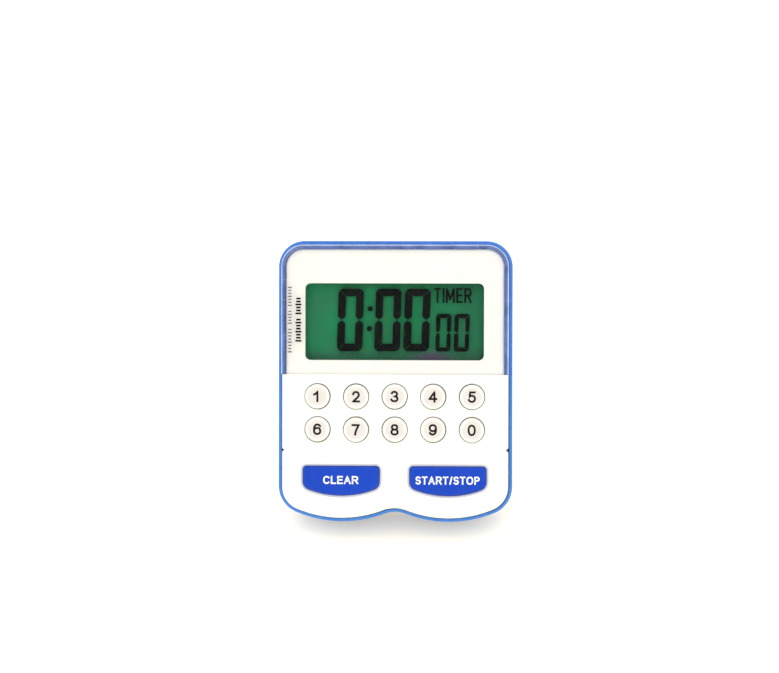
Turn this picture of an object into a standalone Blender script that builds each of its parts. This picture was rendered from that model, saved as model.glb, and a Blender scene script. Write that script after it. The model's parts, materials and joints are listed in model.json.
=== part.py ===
"""Digital countdown timer: white front, blue rear shell, clear window cap, twelve keys, fold-out stand.

Lengths are in millimetres in this file and become metres in the mesh helpers. Shapes are drawn in the
case's own frame: X to the right, Y from front to back, Z up along the face, with Z = 0 at the bottom of
the two lobes. The empty case_frame then leans everything back onto the stand.
"""

import math

import bmesh
import bpy
from mathutils import Matrix, Vector

MM = 0.001

# Case outline, as tangent arcs
HALF_WIDTH = 37.0
HEIGHT = 88.8
TOP_RADIUS = 8.2
CORNER_RADIUS = 9.0
LOBE_RADIUS = 38.0
LOBE_X = 16.8
NOTCH_RADIUS = 9.0
STEP_Z = 46.7            # where the lower face ends and the clear window begins

# Depths: negative Y is the front
FACE_Y = -6.4            # lower white face
PANEL_Y = -5.5           # white panel under the window
WINDOW_Y = -7.0
BACK_Y = 15.0
BACK_EDGE = 3.0          # rounding of the rear edge
RIM_Y = -1.6             # front of the blue rim
INNER_BACK_Y = 13.4

# Insets from the case outline
LIP_LOW, LIP_HIGH = 1.05, 1.3
SKIRT_LOW, SKIRT_HIGH = 1.25, 2.65
CAP_INSET, CAP_WALL, CAP_BEVEL = 1.45, 1.0, 1.55
WALL = 2.0

# Display
DISPLAY_Z = 63.3
DISPLAY_SIZE = (55.9, 24.1)

# Keys
KEY_PITCH = 12.14
KEY_ROWS = (39.8, 29.4)
KEY_RADIUS, KEY_HOLE = 3.85, 4.1
KEY_FRONT_Y = -7.2
FLANGE_Y = (-4.3, -3.3)
WIDE_KEY_HALF = 12.0
WIDE_KEY_TOP = 17.8
WIDE_KEY_FLOOR = 8.7
WIDE_KEY_FRONT_Y = -6.9
GROOVE_Z = 22.9

# Inside
BOARD_Y = (0.6, 1.6)
BOARD_HALF = 26.8
BOARD_Z = (8.2, 81.0)
BATTERY_Y, BATTERY_Z = 8.25, 68.5
BATTERY_RADIUS, BATTERY_LENGTH = 5.25, 44.5
CASE_SCREWS = ((-29.8, 81.6), (29.8, 81.6), (-31.0, 22.0), (31.0, 22.0))
BOARD_SCREWS = ((-25.8, 46.4), (25.8, 46.4), (0.0, 12.0), (0.0, 79.3))
BUZZER = (-27.6, 50.0)
SWITCH = (25.5, 52.2)
MAGNETS = ((-27.5, 35.0), (27.5, 35.0))

# Stand and battery door
LEAN = math.radians(30.0)
STAND_OPEN = math.radians(38.0)
STAND_HINGE = (13.7, 57.0)
STAND_HALF, STAND_THICK = 18.2, 2.0
DOOR_HINGE = (14.1, 75.7)
DOOR_HALF = 28.0
DOOR_Z = (60.8, 76.2)


# ---------- helpers ----------

def clear_scene():
    for obj in list(bpy.data.objects):
        bpy.data.objects.remove(obj, do_unlink=True)


def make_collection(name):
    collection = bpy.data.collections.new(name)
    bpy.context.scene.collection.children.link(collection)
    return collection


def make_material(name, srgb, roughness, metallic=0.0, alpha=1.0):
    linear = [(c / 255 / 12.92) if c <= 10 else ((c / 255 + 0.055) / 1.055) ** 2.4 for c in srgb]
    material = bpy.data.materials.new(name)
    material.use_nodes = True
    shader = material.node_tree.nodes["Principled BSDF"]
    shader.inputs["Base Color"].default_value = (*linear, 1.0)
    shader.inputs["Roughness"].default_value = roughness
    shader.inputs["Metallic"].default_value = metallic
    shader.inputs["Alpha"].default_value = alpha
    material.diffuse_color = (*linear, alpha)
    return material


def finish_mesh(bm, name, collection, material=None, smooth=True):
    """Closes a bmesh into an object in the case frame."""
    bmesh.ops.remove_doubles(bm, verts=bm.verts, dist=2e-6)
    bmesh.ops.recalc_face_normals(bm, faces=bm.faces)
    mesh = bpy.data.meshes.new(name)
    bm.to_mesh(mesh)
    bm.free()
    if smooth:
        mesh.shade_smooth()
        mesh.set_sharp_from_angle(angle=math.radians(30))
    obj = bpy.data.objects.new(name, mesh)
    collection.objects.link(obj)
    obj.parent = CASE_FRAME
    if material:
        mesh.materials.append(material)
    return obj


def part(bm, name, material, smooth=True):
    return finish_mesh(bm, name, PARTS, material, smooth)


def helper(bm, name):
    """A hidden cutter, or a hidden piece that a Boolean joins to a part."""
    obj = finish_mesh(bm, name, CUTTERS, smooth=False)
    obj.hide_render = True
    obj.display_type = "WIRE"
    return obj


def boolean(obj, other, operation):
    modifier = obj.modifiers.new(other.name, "BOOLEAN")
    modifier.operation = operation
    modifier.object = other
    modifier.solver = "EXACT"


def add_box(bm, x, y, z):
    """A box between two limits on each axis."""
    size = Vector((x[1] - x[0], y[1] - y[0], z[1] - z[0])) * MM
    middle = Vector((x[0] + x[1], y[0] + y[1], z[0] + z[1])) * MM / 2
    bmesh.ops.create_cube(bm, size=1.0, matrix=Matrix.Translation(middle) @ Matrix.Diagonal((*size, 1.0)))


def add_post(bm, spot, radius, y, segments=20):
    """A cylinder along Y at a spot (x, z) of the face."""
    middle = Vector((spot[0], (y[0] + y[1]) / 2, spot[1])) * MM
    bmesh.ops.create_cone(
        bm, cap_ends=True, segments=segments, radius1=radius * MM, radius2=radius * MM,
        depth=(y[1] - y[0]) * MM, matrix=Matrix.Translation(middle) @ Matrix.Rotation(math.pi / 2, 4, "X"),
    )


def add_loft(bm, rings, caps=None):
    """Joins rings of equal length, each a list of (x, y, z), and closes both ends with the caps' groups."""
    count = len(rings[0])
    rows = [[bm.verts.new(Vector(point) * MM) for point in ring] for ring in rings]
    for near, far in zip(rows, rows[1:]):
        for i in range(count):
            j = (i + 1) % count
            bm.faces.new((near[i], near[j], far[j], far[i]))
    for row in (rows[0], rows[-1]):
        for group in caps or [range(count)]:
            bm.faces.new([row[i] for i in group])


def turned(name, profile, spot, material, steps=24, along=(math.pi / 2, 0, 0)):
    """A profile of (radius, height) turned about its own axis, which points to the front by default."""
    mesh = bpy.data.meshes.new(name)
    points = [(radius * MM, 0, height * MM) for radius, height in profile]
    edges = [(i, i + 1) for i in range(len(points) - 1)]
    mesh.from_pydata(points, edges, [])
    mesh.materials.append(material)
    obj = bpy.data.objects.new(name, mesh)
    PARTS.objects.link(obj)
    obj.parent = CASE_FRAME
    obj.location = Vector(spot) * MM
    obj.rotation_euler = along
    screw = obj.modifiers.new("Turn", "SCREW")
    screw.steps = screw.render_steps = steps
    screw.use_merge_vertices = True
    screw.merge_threshold = 1e-5
    screw.use_smooth_shade = True
    return obj


def wire(name, points, radius, material):
    """A round wire through the points, with flat ends."""
    curve = bpy.data.curves.new(name, "CURVE")
    curve.dimensions = "3D"
    curve.bevel_depth = radius * MM
    curve.bevel_resolution = 2
    curve.use_fill_caps = True
    spline = curve.splines.new("POLY")
    spline.points.add(len(points) - 1)
    for point, place in zip(spline.points, points):
        point.co = (*(Vector(place) * MM), 1.0)
    curve.materials.append(material)
    obj = bpy.data.objects.new(name, curve)
    PARTS.objects.link(obj)
    obj.parent = CASE_FRAME
    return obj


def smooth_path(knots, steps=5):
    """Points of a Catmull-Rom curve through the knots."""
    padded = [knots[0], *knots, knots[-1]]
    path = []
    for a, b, c, d in zip(padded, padded[1:], padded[2:], padded[3:]):
        a, b, c, d = (Vector(v) for v in (a, b, c, d))
        for i in range(steps):
            t = i / steps
            point = b + 0.5 * t * ((c - a) + t * (2 * a - 5 * b + 4 * c - d + t * (3 * b - a - 3 * c + d)))
            path.append(tuple(point))
    return [*path, tuple(knots[-1])]


# ---------- outlines ----------

def arc(centre, radius, start, end, steps):
    """Points (x, z) on an arc, both ends included, with angles in degrees."""
    turns = [math.radians(start + (end - start) * i / steps) for i in range(steps + 1)]
    return [(centre[0] + radius * math.cos(t), centre[1] + radius * math.sin(t)) for t in turns]


def case_sides(low, high):
    """The case outline, moved in by low below the step and high above it: lower right, top, lower left."""
    reach = LOBE_RADIUS - CORNER_RADIUS
    corner_x = HALF_WIDTH - CORNER_RADIUS
    corner_z = LOBE_RADIUS - math.sqrt(reach ** 2 - (corner_x - LOBE_X) ** 2)
    meet = math.degrees(math.asin((corner_x - LOBE_X) / reach)) - 90
    notch_reach = LOBE_RADIUS + NOTCH_RADIUS
    notch_z = LOBE_RADIUS - math.sqrt(notch_reach ** 2 - LOBE_X ** 2)
    notch = math.degrees(math.asin(LOBE_X / notch_reach))
    right = arc((0, notch_z), NOTCH_RADIUS + low, 90, 90 - notch, 3)
    right += arc((LOBE_X, LOBE_RADIUS), LOBE_RADIUS - low, -90 - notch, meet, 8)[1:]
    right += arc((corner_x, corner_z), CORNER_RADIUS - low, meet, 0, 5)[1:]
    right.append((HALF_WIDTH - low, STEP_Z))
    top_x, top_z = HALF_WIDTH - TOP_RADIUS, HEIGHT - TOP_RADIUS
    top = [(HALF_WIDTH - high, STEP_Z)] + arc((top_x, top_z), TOP_RADIUS - high, 0, 90, 6)
    top += [(-x, z) for x, z in reversed(top)]
    left = [(-x, z) for x, z in reversed(right)][:-1]
    return right, top, left


def case_ring(y, low, high=None, high_y=None):
    """A ring of the case outline at depth y; the part above the step may have its own inset and depth."""
    high = low if high is None else high
    high_y = y if high_y is None else high_y
    right, top, left = case_sides(low, high)
    return [(x, y, z) for x, z in right] + [(x, high_y, z) for x, z in top] + [(x, y, z) for x, z in left]


def case_caps():
    """Cap faces of a case ring: below the step, the step itself, above the step."""
    right, top, left = case_sides(0, 0)
    a, b, c = len(right), len(right) + len(top), len(right) + len(top) + len(left)
    return [[*range(0, a), *range(b, c)], [a - 1, a, b - 1, b], [*range(a, b)]]


def rounded_rectangle(half_x, half_z, centre, radius, steps=4):
    points = []
    for i, (sx, sz) in enumerate(((1, 1), (-1, 1), (-1, -1), (1, -1))):
        middle = (centre[0] + sx * (half_x - radius), centre[1] + sz * (half_z - radius))
        points += arc(middle, radius, 90 * i, 90 * i + 90, steps)
    return points


def window_outline(inset, floor=STEP_Z):
    """The upper part of the case outline, closed by a straight lower edge."""
    top_x, top_z = HALF_WIDTH - TOP_RADIUS, HEIGHT - TOP_RADIUS
    points = [(HALF_WIDTH - inset, floor)] + arc((top_x, top_z), TOP_RADIUS - inset, 0, 90, 6)
    return points + [(-x, z) for x, z in reversed(points)]


def wide_key_outline(inset, top_corner=1.1, low_corner=2.6):
    """Wide key about x = 0: straight top and sides, and a lower edge parallel to the lobe below it."""
    half = WIDE_KEY_HALF - inset
    top = WIDE_KEY_TOP - inset
    bow = LOBE_RADIUS - WIDE_KEY_FLOOR - inset
    top_r = max(top_corner - inset, 0.2)
    low_r = low_corner - inset
    low_x = half - low_r
    low_z = LOBE_RADIUS - math.sqrt((bow - low_r) ** 2 - low_x ** 2)
    meet = math.degrees(math.asin(low_x / (bow - low_r)))
    right = arc((0, LOBE_RADIUS), bow, -90, meet - 90, 5)
    right += arc((low_x, low_z), low_r, meet - 90, 0, 4)[1:]
    right += arc((half - top_r, top - top_r), top_r, 0, 90, 3)
    return right + [(-x, z) for x, z in reversed(right)][:-1]


def at_depth(outline, y, shift=0.0):
    return [(x + shift, y, z) for x, z in outline]


def prism(bm, outline, y, shift=0.0):
    add_loft(bm, [at_depth(outline, y[0], shift), at_depth(outline, y[1], shift)])


# ---------- shells ----------

def rear_case(material):
    bm = bmesh.new()
    turns = [math.radians(a) for a in (90, 60, 30, 0)]
    edge = [(BACK_Y - BACK_EDGE * (1 - math.sin(t)), BACK_EDGE * (1 - math.cos(t))) for t in turns]
    rings = [case_ring(y, inset) for y, inset in edge]
    rings += [case_ring(RIM_Y + 0.4, 0.0), case_ring(RIM_Y, 0.25)]
    rings += [case_ring(RIM_Y, LIP_LOW, LIP_HIGH, RIM_Y + 0.1), case_ring(1.5, LIP_LOW, LIP_HIGH, 1.4)]
    rings += [case_ring(1.5, WALL), case_ring(INNER_BACK_Y, WALL)]
    add_loft(bm, rings, case_caps())
    case = part(bm, "rear_case", material)

    bm = bmesh.new()
    add_box(bm, (-20.2, 20.2), (11.0, 13.9), (5.9, 60.2))
    for spot in MAGNETS:
        add_post(bm, spot, 6.9, (11.0, 13.9), 24)
    for spot in CASE_SCREWS:
        add_post(bm, spot, 2.8, (2.2, 13.9), 16)
    boolean(case, helper(bm, "case_bosses"), "UNION")

    bm = bmesh.new()
    add_box(bm, (-27.6, 27.6), (1.9, 13.9), (61.3, 75.7))
    boolean(case, helper(bm, "battery_tub"), "UNION")

    bm = bmesh.new()
    add_box(bm, (-26.6, 26.6), (2.7, 16.0), (62.3, 74.7))
    boolean(case, helper(bm, "battery_well"), "DIFFERENCE")

    bm = bmesh.new()
    prism(bm, rounded_rectangle(DOOR_HALF + 0.3, 8.3, (0, 68.6), 1.3), (13.45, 16.0))
    boolean(case, helper(bm, "door_recess"), "DIFFERENCE")

    bm = bmesh.new()
    prism(bm, rounded_rectangle(STAND_HALF + 0.35, 25.75, (0, 32.65), 1.6), (12.4, 16.0))
    for side in (-1, 1):
        add_post(bm, (side * 27.5, MAGNETS[0][1]), 5.9, (12.9, 16.0), 24)
    boolean(case, helper(bm, "stand_recess"), "DIFFERENCE")

    bm = bmesh.new()
    for x in (-26.3, 24.5):
        add_box(bm, (x - 0.5, x + 0.6), (1.0, 3.4), (67.2, 69.8))
    boolean(case, helper(bm, "contact_slots"), "DIFFERENCE")

    bm = bmesh.new()
    for side in (-1, 1):
        span = (side * 17.0, side * 19.9)
        middle = Vector((sum(span) / 2, *STAND_HINGE)) * MM
        bmesh.ops.create_cone(
            bm, cap_ends=True, segments=16, radius1=1.05 * MM, radius2=1.05 * MM, depth=2.9 * MM,
            matrix=Matrix.Translation(middle) @ Matrix.Rotation(math.pi / 2, 4, "Y"),
        )
    add_box(bm, (16.0, 22.6), (13.5, 16.0), (12.0, 22.0))
    boolean(case, helper(bm, "stand_sockets"), "DIFFERENCE")

    for name, radius, depth, steps in (("shank", 1.2, (0.0, 9.0), 12), ("head", 2.4, (7.6, 16.0), 16)):
        bm = bmesh.new()
        for spot in CASE_SCREWS:
            add_post(bm, spot, radius, depth, steps)
        boolean(case, helper(bm, f"case_screw_{name}_holes"), "DIFFERENCE")

    bm = bmesh.new()
    for i in range(6):
        turn = i * math.pi / 3
        spot = (BUZZER[0] + 3 * math.cos(turn), BUZZER[1] + 3 * math.sin(turn))
        add_post(bm, spot, 0.6, (12.0, 16.0), 10)
    add_box(bm, (SWITCH[0] - 1.9, SWITCH[0] + 1.9), (12.0, 16.0), (SWITCH[1] - 2.4, SWITCH[1] + 4.9))
    boolean(case, helper(bm, "sound_and_switch_holes"), "DIFFERENCE")


def front_bezel(material):
    bm = bmesh.new()
    rings = [
        case_ring(FACE_Y, SKIRT_LOW + 1.3, SKIRT_HIGH + 0.6, PANEL_Y),
        case_ring(FACE_Y + 0.35, SKIRT_LOW + 0.45, SKIRT_HIGH + 0.18, PANEL_Y + 0.18),
        case_ring(FACE_Y + 1.2, SKIRT_LOW, SKIRT_HIGH, PANEL_Y + 0.6),
        case_ring(0.3, SKIRT_LOW, SKIRT_HIGH, 0.0),
        case_ring(0.3, SKIRT_LOW, CAP_INSET + 0.05, 0.0),
        case_ring(1.2, SKIRT_LOW, CAP_INSET + 0.05, 1.0),
        case_ring(1.2, SKIRT_LOW + 1.4, SKIRT_HIGH + 1.4, 1.0),
        case_ring(FACE_Y + 1.8, SKIRT_LOW + 1.4, SKIRT_HIGH + 1.4, PANEL_Y + 1.5),
    ]
    add_loft(bm, rings, case_caps())
    bezel = part(bm, "front_bezel", material)

    bm = bmesh.new()
    for spot in CASE_SCREWS:
        add_post(bm, spot, 2.4, (-5.0, 1.9), 16)
    for spot in BOARD_SCREWS:
        add_post(bm, spot, 1.5, (-4.8, BOARD_Y[0] - 0.2), 14)
    boolean(bezel, helper(bm, "bezel_posts"), "UNION")

    bm = bmesh.new()
    for spot in CASE_SCREWS:
        add_post(bm, spot, 1.2, (-3.0, 3.0), 12)
    for spot in BOARD_SCREWS:
        add_post(bm, spot, 0.85, (-3.0, 3.0), 10)
    boolean(bezel, helper(bm, "post_holes"), "DIFFERENCE")

    bm = bmesh.new()
    opening = rounded_rectangle(DISPLAY_SIZE[0] / 2, DISPLAY_SIZE[1] / 2, (0, DISPLAY_Z), 1.6)
    prism(bm, opening, (-8.0, -2.0))
    for x, z in key_places():
        add_post(bm, (x, z), KEY_HOLE, (-8.0, -3.0), 24)
    boolean(bezel, helper(bm, "display_and_key_holes"), "DIFFERENCE")

    bm = bmesh.new()
    for side in (-1, 1):
        levels = ((-8.0, -0.78), (FACE_Y + 0.08, -0.78), (FACE_Y + 0.5, -0.35), (-3.0, -0.35))
        add_loft(bm, [at_depth(wide_key_outline(inset), y, side * LOBE_X) for y, inset in levels])
    boolean(bezel, helper(bm, "wide_key_holes"), "DIFFERENCE")

    bm = bmesh.new()
    notch = ((-8.0, 1.3), (FACE_Y - 0.2, 1.0), (FACE_Y + 0.6, 0.0), (FACE_Y - 0.2, -1.0), (-8.0, -1.3))
    add_loft(bm, [[(x, y, GROOVE_Z + z) for y, z in notch] for x in (-45.0, 45.0)])
    boolean(bezel, helper(bm, "face_groove"), "DIFFERENCE")


def clear_window(material):
    bm = bmesh.new()
    levels = ((WINDOW_Y, CAP_BEVEL), (WINDOW_Y + 0.35, 0.5), (WINDOW_Y + 1.2, 0.0), (-0.2, 0.0))
    add_loft(bm, [at_depth(window_outline(CAP_INSET + inset, STEP_Z + 0.2), y) for y, inset in levels])
    window = part(bm, "clear_window", material)
    bm = bmesh.new()
    inner = CAP_INSET + CAP_WALL
    levels = ((WINDOW_Y + 1.2, inner + 0.5), (WINDOW_Y + 1.7, inner), (1.0, inner))
    add_loft(bm, [at_depth(window_outline(inset, STEP_Z - 3.0), y) for y, inset in levels])
    boolean(window, helper(bm, "window_hollow"), "DIFFERENCE")
    return window


# ---------- display ----------

def display(glass, film, mirror, frame_plastic, rubber):
    half = DISPLAY_SIZE[0] / 2
    bm = bmesh.new()
    prism(bm, rounded_rectangle(33.9, 18.6, (0, 67.0), 2.6), (WINDOW_Y - 0.25, WINDOW_Y - 0.1))
    part(bm, "transit_film", film)
    bm = bmesh.new()
    add_box(bm, (-half - 1, half + 1), (-3.8, -2.8), (50.2, 76.4))
    part(bm, "lcd_front_glass", glass, smooth=False)
    bm = bmesh.new()
    add_box(bm, (-half - 1, half + 1), (-2.7, -1.8), (48.4, 76.4))
    part(bm, "lcd_rear_glass", glass, smooth=False)
    bm = bmesh.new()
    add_box(bm, (-half - 0.5, half + 0.5), (-1.7, -1.5), (50.6, 76.2))
    part(bm, "lcd_reflector", mirror, smooth=False)
    bm = bmesh.new()
    add_box(bm, (-26.0, 26.0), (-1.7, 0.4), (48.6, 50.0))
    part(bm, "zebra_strip", rubber, smooth=False)
    bm = bmesh.new()
    add_box(bm, (-half - 1, half + 1), (-1.3, 0.4), (50.4, 76.9))
    frame = part(bm, "lcd_frame", frame_plastic, smooth=False)
    bm = bmesh.new()
    add_box(bm, (-half + 3, half - 3), (-2.0, 1.0), (54.0, 73.3))
    boolean(frame, helper(bm, "frame_opening"), "DIFFERENCE")


# ---------- keys ----------

def key_places():
    """Spots (x, z) of the number keys, in the order 1 to 9 and then 0."""
    columns = [KEY_PITCH * (i - 2) for i in range(5)]
    return [(x, z) for z in KEY_ROWS for x in columns]


def number_keys(material):
    rise = FLANGE_Y[1] - KEY_FRONT_Y
    lip = FLANGE_Y[1] - FLANGE_Y[0]
    profile = ((0, rise - 0.25), (2.4, rise - 0.12), (3.2, rise), (3.62, rise - 0.12), (KEY_RADIUS, rise - 0.5),
               (KEY_RADIUS, lip), (4.7, lip), (4.7, 0), (0, 0))
    for i, (x, z) in enumerate(key_places()):
        turned(f"number_key_{(i + 1) % 10}", profile, (x, FLANGE_Y[1], z), material, steps=20)


def wide_keys(material):
    levels = ((WIDE_KEY_FRONT_Y, 0.75), (WIDE_KEY_FRONT_Y + 0.12, 0.35), (WIDE_KEY_FRONT_Y + 0.5, 0.0),
              (FLANGE_Y[0], 0.0), (FLANGE_Y[0], -0.9), (FLANGE_Y[1], -0.9))
    for name, side in (("clear_key", -1), ("start_stop_key", 1)):
        bm = bmesh.new()
        add_loft(bm, [at_depth(wide_key_outline(inset), y - FLANGE_Y[1]) for y, inset in levels])
        key = part(bm, name, material)
        key.location = Vector((side * LOBE_X, FLANGE_Y[1], 0)) * MM


def keypad_mat(material):
    bm = bmesh.new()
    prism(bm, rounded_rectangle(27.9, 18.55, (0, 26.05), 2.0), (BOARD_Y[0] - 0.8, BOARD_Y[0] - 0.2))
    mat = part(bm, "keypad_mat", material)
    bm = bmesh.new()
    spots = key_places() + [(-LOBE_X, 13.2), (LOBE_X, 13.2)]
    for x, z in spots:
        levels = ((BOARD_Y[0] - 0.5, 2.9), (BOARD_Y[0] - 1.2, 2.6), (-2.2, 1.7), (FLANGE_Y[1] + 0.3, 1.6))
        add_loft(bm, [at_depth(arc((x, z), radius, 0, 360 - 360 / 14, 13), y) for y, radius in levels])
    boolean(mat, helper(bm, "mat_domes"), "UNION")
    bm = bmesh.new()
    add_post(bm, BOARD_SCREWS[2], 2.0, (-1.0, 1.0), 14)
    boolean(mat, helper(bm, "mat_hole"), "DIFFERENCE")


# ---------- electronics ----------

def circuit_board(material):
    bm = bmesh.new()
    add_box(bm, (-BOARD_HALF, BOARD_HALF), BOARD_Y, BOARD_Z)
    board = part(bm, "circuit_board", material, smooth=False)
    bm = bmesh.new()
    for spot in BOARD_SCREWS:
        add_post(bm, spot, 0.85, (0.0, 3.0), 10)
    boolean(board, helper(bm, "board_holes"), "DIFFERENCE")


def board_components(epoxy, metal, sleeve, switch_plastic):
    back = BOARD_Y[1] + 0.1
    behind = (-math.pi / 2, 0, 0)
    dome = [(5.2 * math.cos(math.radians(a)), 1.5 * math.sin(math.radians(a))) for a in (90, 65, 40, 15, 0)]
    turned("controller_blob", dome + [(0, 0)], (-2.0, back, 38.0), epoxy, 20, behind)
    can = ((0, 5.6), (1.8, 5.6), (2.0, 5.3), (2.0, 0), (0, 0))
    turned("capacitor", can, (-14.0, back, 46.0), sleeve, 16, behind)
    can = ((0, 6.0), (0.9, 6.0), (1.0, 5.8), (1.0, 0), (0, 0))
    turned("crystal_can", can, (9.0, back + 1.1, 31.0), metal, 12, (0, math.pi / 2, 0))
    x, z = SWITCH
    bm = bmesh.new()
    add_box(bm, (x - 2.0, x + 1.2), (back, back + 3.6), (z - 3.4, z + 5.9))
    part(bm, "switch_body", metal, smooth=False)
    bm = bmesh.new()
    add_box(bm, (x - 0.9, x + 0.5), (back + 3.8, back + 6.6), (z - 0.7, z + 0.7))
    part(bm, "switch_lever", switch_plastic, smooth=False)


def buzzer(brass, ceramic, red, black):
    x, z = BUZZER
    turned("piezo_plate", ((0, 0.3), (6.0, 0.3), (6.0, 0), (0, 0)), (x, 13.1, z), brass, 28)
    turned("piezo_ceramic", ((0, 0.25), (4.2, 0.25), (4.2, 0), (0, 0)), (x, 12.7, z), ceramic, 24)
    knots = ((x, 12.1, z), (x + 1.2, 9.5, z), (x + 3.2, 6.0, z - 2.0), (x + 4.2, 3.4, z - 4.0), (-22.4, 2.1, 44.0))
    wire("buzzer_lead_red", smooth_path(knots, 3), 0.35, red)
    knots = ((x + 5.2, 12.4, z + 1.5), (x + 5.6, 10.0, z + 1.2), (x + 5.8, 6.5, z), (x + 5.6, 3.6, z - 1.2),
             (-21.4, 2.1, 47.6))
    wire("buzzer_lead_black", smooth_path(knots, 3), 0.35, black)


# ---------- battery ----------

def battery_parts(label, spring_steel):
    along_x = (0, math.pi / 2, 0)
    start = -20.9
    tall, nub = BATTERY_LENGTH - 1.0, BATTERY_LENGTH
    profile = ((0, nub), (1.7, nub), (1.9, nub - 0.2), (1.9, tall), (4.7, tall), (BATTERY_RADIUS, tall - 0.5),
               (BATTERY_RADIUS, 0.4), (4.9, 0), (0, 0))
    turned("battery", profile, (start, BATTERY_Y, BATTERY_Z), label, 24, along_x)
    for name, x in (("battery_contact_negative", -26.3), ("battery_contact_positive", 24.35)):
        bm = bmesh.new()
        right = [(4.4, 4.0), (4.4, -3.0), (0.9, -4.6), (0.9, -6.45)]
        outline = right + [(-z, y) for z, y in reversed(right)]
        rings = [[(x + dx, BATTERY_Y + y, BATTERY_Z + z) for z, y in outline] for dx in (0.0, 0.3)]
        add_loft(bm, rings)
        part(bm, name, spring_steel, smooth=False)
    turns, count = 4.5, 54
    path = []
    for i in range(count + 1):
        t = i / count
        radius = 3.6 - 1.9 * t
        angle = t * turns * 2 * math.pi
        y, z = radius * math.cos(angle), radius * math.sin(angle)
        path.append((-25.5 + 4.2 * t, BATTERY_Y + y, BATTERY_Z + z))
    wire("battery_spring", path, 0.3, spring_steel)


def battery_door(material):
    low, high = DOOR_Z
    middle = (0, (low + high) / 2 - DOOR_HINGE[1])
    bm = bmesh.new()
    rings = []
    for y, inset in ((13.75, 0.0), (BACK_Y - 0.3, 0.0), (BACK_Y, 0.3)):
        outline = rounded_rectangle(DOOR_HALF - inset, (high - low) / 2 - inset, middle, 1.0)
        rings.append(at_depth(outline, y - DOOR_HINGE[0]))
    add_loft(bm, rings)
    door = part(bm, "battery_door", material)
    door.location = Vector((0, *DOOR_HINGE)) * MM
    bm = bmesh.new()
    foot = low - DOOR_HINGE[1]
    for i in range(3):
        rib = foot + 2.0 + 1.5 * i
        add_box(bm, (-6.0, 6.0), (BACK_Y - DOOR_HINGE[0] - 0.45, 3.0), (rib, rib + 0.7))
    grips = helper(bm, "door_grips")
    grips.location = door.location
    boolean(door, grips, "DIFFERENCE")


# ---------- stand, magnets, switch knob, screws ----------

def stand_reach():
    """Distance from the stand's hinge to the centre of its rounded foot, which stands on the ground."""
    edge_y, edge_z = BACK_Y - BACK_EDGE, BACK_EDGE
    ground = edge_z * math.cos(LEAN) - edge_y * math.sin(LEAN) - BACK_EDGE
    hinge = STAND_HINGE[1] * math.cos(LEAN) - STAND_HINGE[0] * math.sin(LEAN)
    return (hinge - ground - STAND_THICK / 2) / math.cos(STAND_OPEN - LEAN)


def stand(material):
    reach = stand_reach()
    half = STAND_THICK / 2
    outline = arc((0, 0), half, 0, 180, 8) + arc((0, -reach), half, 180, 360, 8)
    bm = bmesh.new()
    add_loft(bm, [[(x, y, z) for y, z in outline] for x in (-STAND_HALF, STAND_HALF)])
    leg = part(bm, "stand", material)
    leg.location = Vector((0, *STAND_HINGE)) * MM
    leg.rotation_euler = (STAND_OPEN, 0, 0)
    bm = bmesh.new()
    for side in (-1, 1):
        bmesh.ops.create_cone(
            bm, cap_ends=True, segments=14, radius1=0.75 * MM, radius2=0.75 * MM, depth=3.0 * MM,
            matrix=Matrix.Translation(Vector((side * 18.1, 0, 0)) * MM) @ Matrix.Rotation(math.pi / 2, 4, "Y"),
        )
    pins = helper(bm, "stand_pins")
    pins.location = leg.location
    pins.rotation_euler = leg.rotation_euler
    boolean(leg, pins, "UNION")
    bm = bmesh.new()
    prism(bm, rounded_rectangle(12.0, 14.0, (0, -24.0), 2.0), (0.4, 3.0))
    panel = helper(bm, "stand_panel")
    panel.location = leg.location
    panel.rotation_euler = leg.rotation_euler
    boolean(leg, panel, "DIFFERENCE")


def magnets(metal):
    profile = ((0, 2.0), (5.4, 2.0), (5.6, 1.8), (5.6, 0.1), (5.5, 0), (0, 0))
    for name, (x, z) in zip(("magnet_left", "magnet_right"), MAGNETS):
        turned(name, profile, (x, 13.2, z), metal, 24, (-math.pi / 2, 0, 0))


def switch_knob(material):
    x, z = SWITCH
    bm = bmesh.new()
    levels = ((8.6, 0.9, 0.9), (12.1, 0.9, 0.9), (12.1, 3.4, 5.0), (13.0, 3.4, 5.0),
              (13.0, 1.5, 2.0), (15.0, 1.5, 2.0), (15.4, 1.1, 1.6))
    corners = ((1, 1), (-1, 1), (-1, -1), (1, -1))
    rings = [[(sx * wide, y, sz * tall) for sx, sz in corners] for y, wide, tall in levels]
    add_loft(bm, rings)
    knob = part(bm, "switch_knob", material, smooth=False)
    knob.location = Vector((x, 0, z)) * MM


def screws(metal):
    behind = (-math.pi / 2, 0, 0)
    for i, (x, z) in enumerate(CASE_SCREWS):
        profile = ((0, 1.1), (0.5, 1.5), (1.6, 1.5), (2.0, 1.1), (2.0, 0), (0.9, 0), (0.9, -8.4),
                   (0.4, -9.2), (0, -9.2))
        turned(f"case_screw_{i + 1}", profile, (x, 7.9, z), metal, 14, behind)
    for i, (x, z) in enumerate(BOARD_SCREWS):
        profile = ((0, 0.6), (0.4, 0.9), (1.1, 0.9), (1.4, 0.6), (1.4, 0), (0.55, 0), (0.55, -3.8), (0, -4.3))
        turned(f"board_screw_{i + 1}", profile, (x, BOARD_Y[1] + 0.15, z), metal, 12, behind)


# ---------- assembly ----------

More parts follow.
